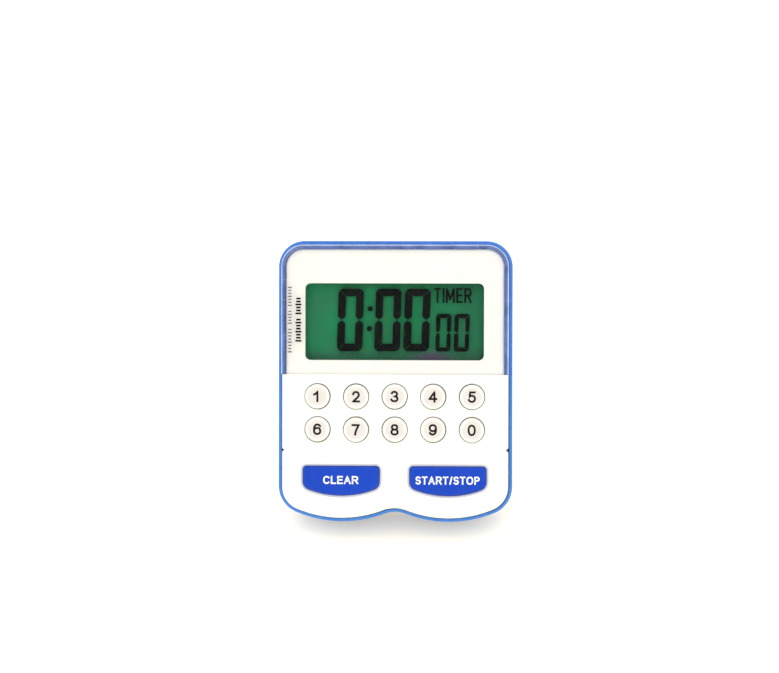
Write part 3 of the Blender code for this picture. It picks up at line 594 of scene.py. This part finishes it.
def surrounds():
    """The bevel round each wide key, its grey-lavender a painted shade on white plastic."""
    for name, side in (("clear_surround", -1), ("start_stop_surround", 1)):
        bm = bmesh.new()
        levels = ((FACE_Y + 0.1, -0.82), (FACE_Y - 0.04, -0.74), (FACE_Y - 0.02, -0.6), (FACE_Y + 0.2, -0.16),
                  (FACE_Y + 0.5, -0.09), (FACE_Y + 1.6, -0.09), (FACE_Y + 1.6, -0.32), (FACE_Y + 0.47, -0.35))
        rings = [at_depth(wide_outline(inset), y, side * LOBE_X) for y, inset in levels]
        rows = [[bm.verts.new(Vector(point) * MM) for point in ring] for ring in rings]
        count = len(rows[0])
        for near, far in zip(rows, rows[1:] + rows[:1]):
            for i in range(count):
                bm.faces.new((near[i], near[(i + 1) % count], far[(i + 1) % count], far[i]))
        show(to_object(bm, name, "surround"), "case", "white_shell")


def edge_distance(point):
    """How far a point of the upper half lies inside the case's outline."""
    x, z = abs(point.x) - (HALF_WIDTH - TOP_RADIUS), point.z - (HEIGHT - TOP_RADIUS)
    return TOP_RADIUS - (math.hypot(x, z) if min(x, z) > 0 else max(x, z))


def window_cap():
    """Clear cap over the display, in three finishes: broad face, bevel with a painted highlight and side walls with a
    painted blue reflection of the rim, small ribs.
    """
    floor = STEP_Z + 0.2
    bm = bmesh.new()
    levels = [(y, CAP_INSET + i) for y, i in ((WINDOW_Y, CAP_BEVEL), (WINDOW_Y + 0.06, CAP_BEVEL - 0.3))]
    levels += [(WINDOW_Y + 1.0 + y, CAP_INSET + 1.0 + r) for y, r in arc((0, 0), 1.0, 195, 270, 8)]
    levels += [(0.9, CAP_INSET)]
    add_loft(bm, [at_depth(window_outline(inset, floor), y) for y, inset in levels])
    window = to_object(bm, "clear_window_cap", "window")
    window.data.materials.append(MATERIALS["window_wall_painted_reflection"])
    window.data.materials.append(MATERIALS["window_edge_painted_highlight"])
    bm = bmesh.new()
    inner = CAP_INSET + CAP_WALL
    levels = [(WINDOW_Y + 1.2, inner + 0.5), (WINDOW_Y + 1.35, inner + 0.15), (WINDOW_Y + 1.7, inner), (2.0, inner)]
    add_loft(bm, [at_depth(window_outline(inset, STEP_Z - 3.0), y) for y, inset in levels])
    cut(window, bm)
    # The outermost band gets the painted highlight, the side walls the painted reflection of the blue rim
    for face in window.data.polygons:
        depth = edge_distance(face.center / MM)
        face.material_index = 2 if depth < CAP_INSET + 0.38 else 1 if depth < CAP_INSET + CAP_WALL + 0.06 else 0
    bm = bmesh.new()
    bm.from_mesh(window.data)
    ceiling = [f for f in bm.faces if f.normal.y > 0.9 and f.calc_center_median().y < (WINDOW_Y + 2.0) * MM]
    bmesh.ops.delete(bm, geom=ceiling, context="FACES")
    bm.to_mesh(window.data)
    bm.free()
    flatten_normals(window)
    show(window, "case", "clear_cap", "clear_window")
    bm = bmesh.new()
    for x in (-13.0, -3.4, 4.2, 13.6, 25.9):
        add_box(bm, (x - 0.14, x + 0.14), (WINDOW_Y + 1.0, 0.6), (HEIGHT - 2.62, HEIGHT - 1.38))
    for side, heights in ((-1, (76.6, 70.2, 58.8)), (1, (70.2, 55.0))):
        for z in heights:
            reach = sorted((side * (HALF_WIDTH - 2.62), side * (HALF_WIDTH - 1.38)))
            add_box(bm, reach, (WINDOW_Y + 1.0, 0.6), (z - 0.12, z + 0.12))
    show(to_object(bm, "window_ribs", "window_rib"), "case", "clear_cap")


def sheet(name, outline, y, material, slot, node):
    """A very thin clear piece as one surface that faces the front."""
    bm = bmesh.new()
    bm.faces.new([bm.verts.new(Vector(point) * MM) for point in at_depth(outline, y)])
    show(to_object(bm, name, material, smooth=0), "case", slot, node)


def transit_film():
    """Clear film on the window, with two upright lines of plain bars where its notice is printed."""
    sheet("film", rounded_rectangle(33.9, 18.6, (0, 67.0), 2.6), WINDOW_Y - 0.16, "film", "clear_film", "transit_film")
    for name, x, start, words, thick, ink in (
        ("film_line_light", -33.0, 53.6, (8.0, 4.6, 6.6), 0.95, "ink_grey"),
        ("film_line_bold", -30.3, 57.0, (7.6, 5.6), 1.4, "ink_black"),
    ):
        bm = bmesh.new()
        z = start
        ink_share = 0.42 if ink == "ink_grey" else 0.6
        for length in words:
            marks = max(2, round(length / 0.95))
            pitch = length / marks
            for i in range(marks):
                tall = thick * (1.0 if i % 3 else 1.35)
                low = z + i * pitch
                add_box(bm, (x - tall / 2, x + tall / 2), (WINDOW_Y - 0.2, WINDOW_Y - 0.185), (low, low + pitch * ink_share))
            z += length + 1.0
        show(to_object(bm, name, ink, smooth=0), "case", "clear_film")


# ---------- display ----------

def zero_segments(width, height, thick, gap):
    """The six lit segments of a seven-segment zero, as outlines with their lower left corner at the origin."""
    corner = thick * 0.62
    tip = thick * 0.42
    g = gap / 2
    top = arc((corner, height - corner), corner, 135, 90, 5)
    side = arc((corner, height - corner), corner, 180, 135, 5)
    inner = (thick, height - thick)
    upper_left = [(thick / 2, height / 2 + g), (0, height / 2 + g + tip)]
    upper_left += [(x, z - g) for x, z in side] + [(inner[0], inner[1] - g), (thick, height / 2 + g + tip)]
    left_half = [(x + g, z) for x, z in top]
    bar = left_half + [(width - x, z) for x, z in reversed(left_half)]
    bar += [(width - inner[0] - g, inner[1]), (inner[0] + g, inner[1])]
    outlines = []
    for outline in (upper_left, [(width - x, z) for x, z in upper_left], bar):
        outlines.append(outline)
        outlines.append([(x, height - z) for x, z in outline])
    return outlines


def display():
    """Green reflector, lit segments on the rear glass and the front glass."""
    bm = bmesh.new()
    add_box(bm, (-28.5, 28.5), (-1.72, -1.5), (50.6, 76.2))
    reflector = to_object(bm, "display_reflector", "green", smooth=0)
    show(reflector, "case", "display_reflector", "lcd_reflector", "lcd_rear_glass")

    slant = math.tan(math.radians(1.8))
    base = DISPLAY_Z - 9.35
    digits = ((-18.5, 8.0, 19.74, 2.4), (-6.7, 8.1, 19.74, 2.4), (2.5, 8.1, 19.74, 2.4),
              (12.6, 4.75, 11.86, 1.3), (18.4, 4.75, 11.86, 1.3))
    bm = bmesh.new()
    for left, width, height, thick in digits:
        for outline in zero_segments(width, height, thick, 0.13 if height > 15 else 0.1):
            sloped = [(left + x + z * slant, base + z) for x, z in outline]
            add_loft(bm, [at_depth(sloped, y) for y in (-2.75, -2.72)])
    for x, z in ((-7.95, 4.08), (-8.2, -2.23)):
        add_loft(bm, [at_depth(arc((x, DISPLAY_Z + z), 0.84, 0, 345, 23), y) for y in (-2.75, -2.72)])
    show(to_object(bm, "display_segments", "segment", smooth=0), "case", "display_glass")
    word = Lettering(4.7, 0.6, 0.62)
    word.write("TIMER", (18.15, DISPLAY_Z + 5.95), -2.75, 0.5)
    show(word.to_piece("display_word", "segment"), "case", "display_glass")

    outline = rounded_rectangle(DISPLAY_W / 2 + 1, 13.1, (0, DISPLAY_Z), 0.5, 3)
    sheet("display_front_glass", outline, -3.7, "lcd_glass", "display_glass", "lcd_front_glass")


# ---------- lettering ----------

def oval(cx, cy, rx, ry, start, end, steps=18):
    """Points on a slightly squared oval."""
    points = []
    for i in range(steps + 1):
        t = math.radians(start + (end - start) * i / steps)
        c, s = math.cos(t), math.sin(t)
        points.append((cx + rx * math.copysign(abs(c) ** 0.88, c), cy + ry * math.copysign(abs(s) ** 0.88, s)))
    return points


def glyph(character):
    """A character's width share and its strokes, in a unit box that the strokes' centre lines fill."""
    bowl = [(0, 1), (0.52, 1)] + oval(0.52, 0.74, 0.48, 0.26, 90, -90, 10) + [(0, 0.48)]
    loop = oval(0.5, 0.32, 0.5, 0.32, 0, 360)
    six = [loop, [(x, y) for x, y in oval(0.54, 0.5, 0.54, 0.5, 185, 40)]]
    glyphs = {
        "0": (0.56, [oval(0.5, 0.5, 0.5, 0.5, 0, 360, 28)]),
        "1": (0.36, [[(1, 0), (1, 1), (0.72, 0.86), (0.4, 0.76), (0, 0.7)]]),
        "2": (0.56, [oval(0.5, 0.7, 0.46, 0.3, 170, -30) + [(0.66, 0.36), (0.3, 0.16), (0.06, 0.0), (1, 0)]]),
        "3": (0.56, [oval(0.48, 0.75, 0.42, 0.25, 160, -90) + oval(0.48, 0.25, 0.5, 0.25, 90, -165)]),
        "4": (0.6, [[(0.74, 0), (0.74, 1), (0, 0.28), (1, 0.28)]]),
        "5": (0.56, [[(0.92, 1), (0.22, 1), (0.1, 0.5)] + oval(0.48, 0.32, 0.5, 0.32, 130, -160)]),
        "6": (0.56, six),
        "7": (0.56, [[(0, 1), (1, 1), (0.7, 0.62), (0.5, 0.3), (0.42, 0)]]),
        "8": (0.56, [oval(0.5, 0.76, 0.43, 0.24, 0, 360), oval(0.5, 0.26, 0.5, 0.26, 0, 360)]),
        "9": (0.56, [[(1 - x, 1 - y) for x, y in stroke] for stroke in six]),
        "A": (0.86, [[(0, 0), (0.5, 1), (1, 0)], [(0.2, 0.34), (0.8, 0.34)]]),
        "C": (0.82, [oval(0.52, 0.5, 0.52, 0.5, 42, 318, 24)]),
        "E": (0.7, [[(1, 1), (0, 1), (0, 0), (1, 0)], [(0, 0.52), (0.92, 0.52)]]),
        "I": (0.1, [[(0.5, 0), (0.5, 1)]]),
        "L": (0.66, [[(0, 1), (0, 0), (1, 0)]]),
        "M": (0.95, [[(0, 0), (0, 1), (0.5, 0.2), (1, 1), (1, 0)]]),
        "O": (0.92, [oval(0.5, 0.5, 0.5, 0.5, 0, 360, 28)]),
        "P": (0.72, [[(0, 0)] + bowl]),
        "R": (0.8, [[(0, 0)] + bowl, [(0.5, 0.48), (1, 0)]]),
        "S": (0.72, [oval(0.5, 0.75, 0.47, 0.25, 25, 250) + oval(0.5, 0.25, 0.5, 0.25, 80, -155)]),
        "T": (0.74, [[(0, 1), (1, 1)], [(0.5, 1), (0.5, 0)]]),
        "/": (0.42, [[(0, 0), (1, 1)]]),
    }
    return glyphs[character]


class Lettering:
    """Text as thin inlays: each stroke is a ribbon of constant width that follows a surface."""

    def __init__(self, height, stroke, spread=1.0, surface=None):
        self.height, self.stroke, self.spread = height, stroke, spread
        self.surface = surface
        self.bm = bmesh.new()

    def write(self, text, spot, y, gap=0.3, shear=0.0):
        """Centres the text on spot[0], with its foot at spot[1]."""
        widths = []
        for character in text:
            share = glyph(character)[0]
            widths.append(max(share * self.height * self.spread, self.stroke))
        space = gap * self.stroke * 1.6
        x = spot[0] - (sum(widths) + space * (len(text) - 1)) / 2
        for character, width in zip(text, widths):
            for stroke in glyph(character)[1]:
                line = []
                for u, v in stroke:
                    px = x + self.stroke / 2 + u * (width - self.stroke)
                    pz = spot[1] + self.stroke / 2 + v * (self.height - self.stroke)
                    line.append((px + shear * v, pz))
                self.ribbon(line, y)
            x += width + space

    def ribbon(self, line, y):
        points = [Vector(line[0])]
        for target in line[1:]:
            target = Vector(target)
            pieces = max(1, math.ceil((target - points[-1]).length / 0.35))
            start = points[-1].copy()
            points += [start.lerp(target, (i + 1) / pieces) for i in range(pieces)]
        points = [p for i, p in enumerate(points) if i == 0 or (p - points[i - 1]).length > 1e-4]
        looped = (points[0] - points[-1]).length < 1e-3
        if looped:
            points.pop()
        left, right = [], []
        count = len(points)
        for i, point in enumerate(points):
            before = points[i - 1] if i or looped else None
            after = points[(i + 1) % count] if i < count - 1 or looped else None
            ways = [(point - before).normalized()] if before is not None else []
            ways += [(after - point).normalized()] if after is not None else []
            along = sum(ways, Vector((0, 0))).normalized()
            side = Vector((-along.y, along.x))
            stretch = 1 / max(abs(side.dot(Vector((-ways[0].y, ways[0].x)))), 0.6)
            offset = side * self.stroke / 2 * stretch
            left.append(point + offset)
            right.append(point - offset)
        if not looped:
            for row in (left, right):
                row[0] = row[0] + (points[0] - points[1]).normalized() * self.stroke / 2
                row[-1] = row[-1] + (points[-1] - points[-2]).normalized() * self.stroke / 2
        self.strip(left, right, y, looped)

    def strip(self, left, right, y, looped):
        def lift(point, extra):
            height = self.surface(point.x, point.y) if self.surface else y
            return self.bm.verts.new(Vector((point.x, height - extra, point.y)) * MM)
        rows = [[lift(a, 0.025), lift(b, 0.025), lift(b, -0.02), lift(a, -0.02)] for a, b in zip(left, right)]
        pairs = list(zip(rows, rows[1:] + rows[:1])) if looped else list(zip(rows, rows[1:]))
        for near, far in pairs:
            for i in range(4):
                j = (i + 1) % 4
                self.bm.faces.new((near[i], near[j], far[j], far[i]))
        if not looped:
            self.bm.faces.new(rows[0])
            self.bm.faces.new(reversed(rows[-1]))

    def to_piece(self, name, ink, place=None):
        return to_object(self.bm, name, ink, place, smooth=0)


# ---------- keys ----------

def dish(radius):
    """Height of a number key's top at a radius, measured from the top of its rim."""
    return 0.34 * (min(radius, 3.0) / 3.0) ** 2 - 0.34


def number_keys():
    lip = 0.42
    profile = [(r, KEY_FRONT_Y - dish(r)) for r in (0.0, 0.6, 1.2, 1.8, 2.3, 2.7, 2.95)]
    profile += [(3.15, KEY_FRONT_Y - 0.0)]
    profile += [(KEY_RADIUS - lip + lip * math.sin(t), KEY_FRONT_Y + lip - lip * math.cos(t))
                for t in (math.radians(a) for a in (15, 35, 55, 75, 90))]
    profile += [(KEY_RADIUS, FLANGE_Y[0]), (4.7, FLANGE_Y[0]), (4.7, FLANGE_Y[1]), (0.0, FLANGE_Y[1])]
    for i, (x, z) in enumerate(key_places()):
        digit = str((i + 1) % 10)
        body = "number_key_" + digit
        x, z = x + 0.07 * math.cos(2.3 * i + 2.9), z + 0.07 * math.sin(2.3 * i + 2.9)
        place = CASE @ Matrix.Translation(Vector((x, 0, z)) * MM)
        bm = bmesh.new()
        add_turned(bm, profile, (0, 0), 64)
        show(to_object(bm, "key_cap_" + digit, "key_white", place, 50), body, "key_white", body)
        legend = Lettering(3.6, 0.64, 1.28, lambda px, pz: KEY_FRONT_Y - dish(math.hypot(px, pz)))
        legend.write(digit, (-0.45 if digit == "1" else -0.05, -1.8), KEY_FRONT_Y)
        show(legend.to_piece("key_legend_" + digit, "ink_black", place), body, "key_white")


def wide_keys():
    edge = 0.55
    levels = [(WIDE_FRONT_Y - 0.0, edge + 0.5), (WIDE_FRONT_Y + 0.02, edge)]
    levels += [(WIDE_FRONT_Y + edge + y, edge + r) for y, r in arc((0, 0), edge, 195, 270, 7)]
    levels += [(FLANGE_Y[0], 0.0), (FLANGE_Y[0], -0.9), (FLANGE_Y[1], -0.9)]
    for name, side, text in (("clear_key", -1, "CLEAR"), ("start_stop_key", 1, "START/STOP")):
        bm = bmesh.new()
        add_loft(bm, [at_depth(wide_outline(inset), y, side * LOBE_X) for y, inset in levels])
        key = to_object(bm, name + "_cap", "key_blue", smooth=50)
        flatten_normals(key)
        show(key, name, "key_blue", name)
        legend = Lettering(2.55, 0.47, 1.0 if side < 0 else 0.92)
        legend.write(text, (side * LOBE_X - 0.1, 12.25), WIDE_FRONT_Y, 0.42)
        show(legend.to_piece(name + "_legend", "ink_white"), name, "key_blue")


# ---------- back ----------

def stand_leg():
    """Fold-out leg with softened edges, a sunk panel with ribs in it, and pins at its hinge."""
    reach = stand_reach()
    half = STAND_THICK / 2
    place = CASE @ Matrix.Translation(Vector((0, *STAND_HINGE)) * MM) @ Matrix.Rotation(STAND_OPEN, 4, "X")
    outline = arc((0, 0), half, 0, 180, 14) + arc((0, -reach), half, 180, 360, 14)
    bm = bmesh.new()
    rings = []
    for x, shrink in ((-STAND_HALF, 0.3), (-STAND_HALF + 0.1, 0.08), (-STAND_HALF + 0.3, 0.0),
                      (STAND_HALF - 0.3, 0.0), (STAND_HALF - 0.1, 0.08), (STAND_HALF, 0.3)):
        scale = 1 - shrink / half
        ring = [(x, y * scale, z * scale if z > -half else (-reach + (z + reach) * scale if z < -reach + half else z))
                for y, z in outline]
        rings.append(ring)
    add_loft(bm, rings)
    leg = to_object(bm, "stand_leg", "blue_back", place)
    middle = -24.0
    bm = bmesh.new()
    levels = ((3.0, -0.4), (half, -0.4), (half - 0.4, 0.0), (half - 0.6, 0.0))
    add_loft(bm, [at_depth(rounded_rectangle(12.5 - i, 14.0 - i, (0, middle), 2.0 - i), y) for y, i in levels])
    cut(leg, bm)
    bm = bmesh.new()
    for i in range(5):
        z = middle - 8.0 + 4.0 * i
        add_loft(bm, [at_depth(rounded_rectangle(9.5 - s, 0.6 - s, (0, z), 0.35 - s, 4), y)
                      for y, s in ((0.2, 0.0), (0.75, 0.0), (0.85, 0.15))])
    cut(leg, bm, "UNION")
    bm = bmesh.new()
    for side in (-1, 1):
        rings = [[(side * x, r * math.cos(t), r * math.sin(t)) for t in (math.radians(a) for a in range(0, 360, 20))]
                 for x, r in ((17.0, 0.75), (19.45, 0.75), (19.6, 0.6))]
        add_loft(bm, rings)
    cut(leg, bm, "UNION")
    flatten_normals(leg)
    show(leg, "stand", "blue_shell", "stand")


def stand_reach():
    """Distance from the stand's hinge to its foot, read from the frame's floor."""
    hinge = CASE @ (Vector((0, *STAND_HINGE)) * MM)
    lean = math.atan2(-joint("clear_key_press")["axis"][2], joint("clear_key_press")["axis"][1])
    return (hinge.z / MM - STAND_THICK / 2) / math.cos(STAND_OPEN - lean)


def battery_door():
    low, high = DOOR_Z
    middle = (0, (low + high) / 2)
    half = (high - low) / 2
    bm = bmesh.new()
    levels = ((13.75, 0.0), (BACK_Y - 0.4, 0.0), (BACK_Y - 0.12, 0.12), (BACK_Y, 0.4))
    add_loft(bm, [at_depth(rounded_rectangle(DOOR_HALF - i, half - i, middle, 1.0 - i), y) for y, i in levels])
    door = to_object(bm, "battery_door_panel", "blue_back")
    bm = bmesh.new()
    for i in range(4):
        z = low + 2.0 + 1.3 * i
        spread = 4.5 + 0.9 * i
        add_loft(bm, [at_depth(rounded_rectangle(spread - s, 0.34 - s, (0, z), 0.3 - s, 4), y)
                      for y, s in ((16.0, -0.1), (BACK_Y, -0.1), (BACK_Y - 0.45, 0.0))])
    add_loft(bm, [at_depth(outline, y) for outline, y in
                  ((wedge_arrow(0.15), 16.0), (wedge_arrow(0.15), BACK_Y), (wedge_arrow(0.0), BACK_Y - 0.3))])
    cut(door, bm)
    flatten_normals(door)
    show(door, "battery_door", "blue_shell", "battery_door")


def wedge_arrow(grow):
    """A small plain triangle that points to the edge where the door opens."""
    return [(2.2 + grow, 71.4 + grow), (-2.2 - grow, 71.4 + grow), (0.0, 69.0 - grow)]


def switch_slider():
    x, z = SWITCH
    levels = ((8.6, 0.9, 0.9), (12.1, 0.9, 0.9), (12.1, 3.4, 5.0), (13.0, 3.4, 5.0), (13.0, 1.5, 2.0),
              (15.1, 1.5, 2.0), (15.3, 1.4, 1.9), (15.4, 1.15, 1.65))
    bm = bmesh.new()
    add_loft(bm, [at_depth(rounded_rectangle(w, h, (x, z), 0.25, 4), y) for y, w, h in levels])
    knob = to_object(bm, "switch_slider", "knob")
    bm = bmesh.new()
    for i in (-1, 0, 1):
        add_box(bm, (x - 2.0, x + 2.0), (15.1, 16.0), (z + 0.95 * i - 0.2, z + 0.95 * i + 0.2))
    cut(knob, bm)
    flatten_normals(knob)
    show(knob, "mode_switch", "knob_white", "switch_knob")


def magnets_and_screws():
    for name, spot in zip(("magnet_left", "magnet_right"), MAGNETS):
        bm = bmesh.new()
        profile = ((0.0, 15.2), (5.3, 15.2), (5.48, 15.15), (5.6, 15.0), (5.6, 13.3), (5.5, 13.2), (0.0, 13.2))
        add_turned(bm, profile, spot, 72)
        disc = to_object(bm, name + "_disc", "nickel")
        flatten_normals(disc)
        show(disc, "case", "magnet_nickel", name)
    for i, spot in enumerate(CASE_SCREWS):
        bm = bmesh.new()
        head = ((0.0, 9.5), (1.2, 9.45), (1.7, 9.2), (1.95, 8.8), (2.0, 8.4), (2.0, 7.95), (0.9, 7.9),
                (0.9, -0.6), (0.0, -1.3))
        add_turned(bm, head, spot, 36)
        screw = to_object(bm, f"case_screw_head_{i + 1}", "steel")
        bm = bmesh.new()
        x, z = spot
        arm = ((1.3, 0.22), (0.22, 0.22), (0.22, 1.3), (-0.22, 1.3), (-0.22, 0.22), (-1.3, 0.22))
        cross = list(arm) + [(-a, -b) for a, b in arm]
        add_loft(bm, [[(x + a * s, y, z + b * s) for a, b in cross] for y, s in ((10.0, 1.0), (9.3, 1.0), (8.3, 0.35))])
        cut(screw, bm)
        show(screw, "case", "steel", f"case_screw_{i + 1}")


def dress_inner_nodes():
    """Materials for the CAD nodes that stay as they are."""
    finishes = {
        "lcd_frame": "frame", "zebra_strip": "rubber", "keypad_mat": "rubber", "circuit_board": "board",
        "controller_blob": "black", "capacitor": "black", "crystal_can": "steel", "switch_body": "steel",
        "switch_lever": "black", "piezo_plate": "brass", "piezo_ceramic": "ceramic", "buzzer_lead_red": "red",
        "buzzer_lead_black": "black", "battery": "sleeve", "battery_spring": "steel",
        "battery_contact_negative": "steel", "battery_contact_positive": "steel",
    }
    finishes.update({f"board_screw_{i}": "steel" for i in range(1, 5)})
    for name, finish in finishes.items():
        mesh = frame["nodes"][name].data
        mesh.materials.clear()
        mesh.materials.append(MATERIALS[finish])


# ---------- stage ----------

def floor():
    """White floor lit a little from below, like a light table, and far wider than the view."""
    n = Nodes("floor_white")
    n.link(n.blend(n.span(n.noise(3.0), 0.0, 1.0), (253, 252, 243), (252, 251, 241)), n.shader.inputs["Base Color"])
    n.shader.inputs["Roughness"].default_value = 0.9
    n.shader.inputs["Specular IOR Level"].default_value = 0.0
    n.shader.inputs["Emission Color"].default_value = (1.0, 0.76, 0.3, 1.0)
    n.shader.inputs["Emission Strength"].default_value = 0.34
    bm = bmesh.new()
    bmesh.ops.create_grid(bm, x_segments=4, y_segments=4, size=6.0)
    mesh = bpy.data.meshes.new("floor")
    bm.to_mesh(mesh)
    bm.free()
    mesh.materials.append(n.material)
    obj = bpy.data.objects.new("floor", mesh)
    bpy.context.scene.collection.objects.link(obj)


def studio():
    """White surroundings, brighter low in front, with a dark patch behind the camera, and a soft lamp above."""
    world = bpy.data.worlds.new("studio")
    bpy.context.scene.world = world
    world.use_nodes = True
    tree = world.node_tree
    coords = tree.nodes.new("ShaderNodeTexCoord")

    def patch(elevation, aside, outer, inner, low, high):
        """A value that goes from low, outside a cone about a direction, to high inside it; angles in degrees."""
        up, side = math.radians(elevation), math.radians(aside)
        dot = tree.nodes.new("ShaderNodeVectorMath")
        dot.operation = "DOT_PRODUCT"
        dot.inputs[1].default_value = (math.sin(side) * math.cos(up), -math.cos(side) * math.cos(up), math.sin(up))
        ramp = tree.nodes.new("ShaderNodeMapRange")
        ramp.interpolation_type = "SMOOTHSTEP"
        limits = math.cos(math.radians(outer)), math.cos(math.radians(inner))
        for key, value in zip(("From Min", "From Max", "To Min", "To Max"), (*limits, low, high)):
            ramp.inputs[key].default_value = value
        tree.links.new(coords.outputs["Generated"], dot.inputs[0])
        tree.links.new(dot.outputs["Value"], ramp.inputs["Value"])
        return ramp.outputs["Result"]

    strength = tree.nodes.new("ShaderNodeMath")
    strength.operation = "MULTIPLY"
    tree.links.new(patch(6, 0, 50, 20, 1.2, 1.8), strength.inputs[0])
    tree.links.new(patch(28, -3, 15, 8, 1.0, 0.02), strength.inputs[1])
    tree.links.new(strength.outputs["Value"], tree.nodes["Background"].inputs["Strength"])
    tree.nodes["Background"].inputs["Color"].default_value = (1.0, 1.0, 1.0, 1.0)
    lamp = bpy.data.lights.new("key_light", "AREA")
    lamp.energy = 1.5
    lamp.size = 0.9
    obj = bpy.data.objects.new("key_light", lamp)
    obj.location = (-0.15, -0.4, 0.95)
    obj.rotation_euler = (Vector((0, 0, 0.04)) - obj.location).to_track_quat("-Z", "Y").to_euler()
    bpy.context.scene.collection.objects.link(obj)


def camera():
    """Long lens, two degrees above the face's direction, with the object a little right of and below the middle."""
    data = bpy.data.cameras.new("camera")
    data.lens = 113.2
    data.sensor_width = 36.0
    obj = bpy.data.objects.new("camera", data)
    target = CASE @ (Vector((0.0, 2.0, 44.4)) * MM)
    face = -joint("clear_key_press")["axis"][2]
    height = math.asin(face) + math.radians(2.0)
    aside = math.radians(3.0)
    way = Vector((math.sin(aside) * math.cos(height), -math.cos(aside) * math.cos(height), math.sin(height)))
    obj.location = target + way * 0.778
    turn = (-way).to_track_quat("-Z", "Y").to_matrix().to_4x4()
    offset = turn @ Vector((-1.68, 14.2, 0.0)) * MM
    turn = (target + offset - obj.location).to_track_quat("-Z", "Y").to_matrix().to_4x4()
    roll = Matrix.Rotation(math.radians(-1.45), 4, "Z")
    obj.matrix_world = Matrix.Translation(obj.location) @ turn @ roll
    bpy.context.scene.collection.objects.link(obj)
    bpy.context.scene.camera = obj


rear_shell()
front_shell()
surrounds()
window_cap()
transit_film()
display()
number_keys()
wide_keys()
stand_leg()
battery_door()
switch_slider()
magnets_and_screws()
dress_inner_nodes()
floor()
studio()
camera()
bpy.context.scene.view_settings.view_transform = "Standard"
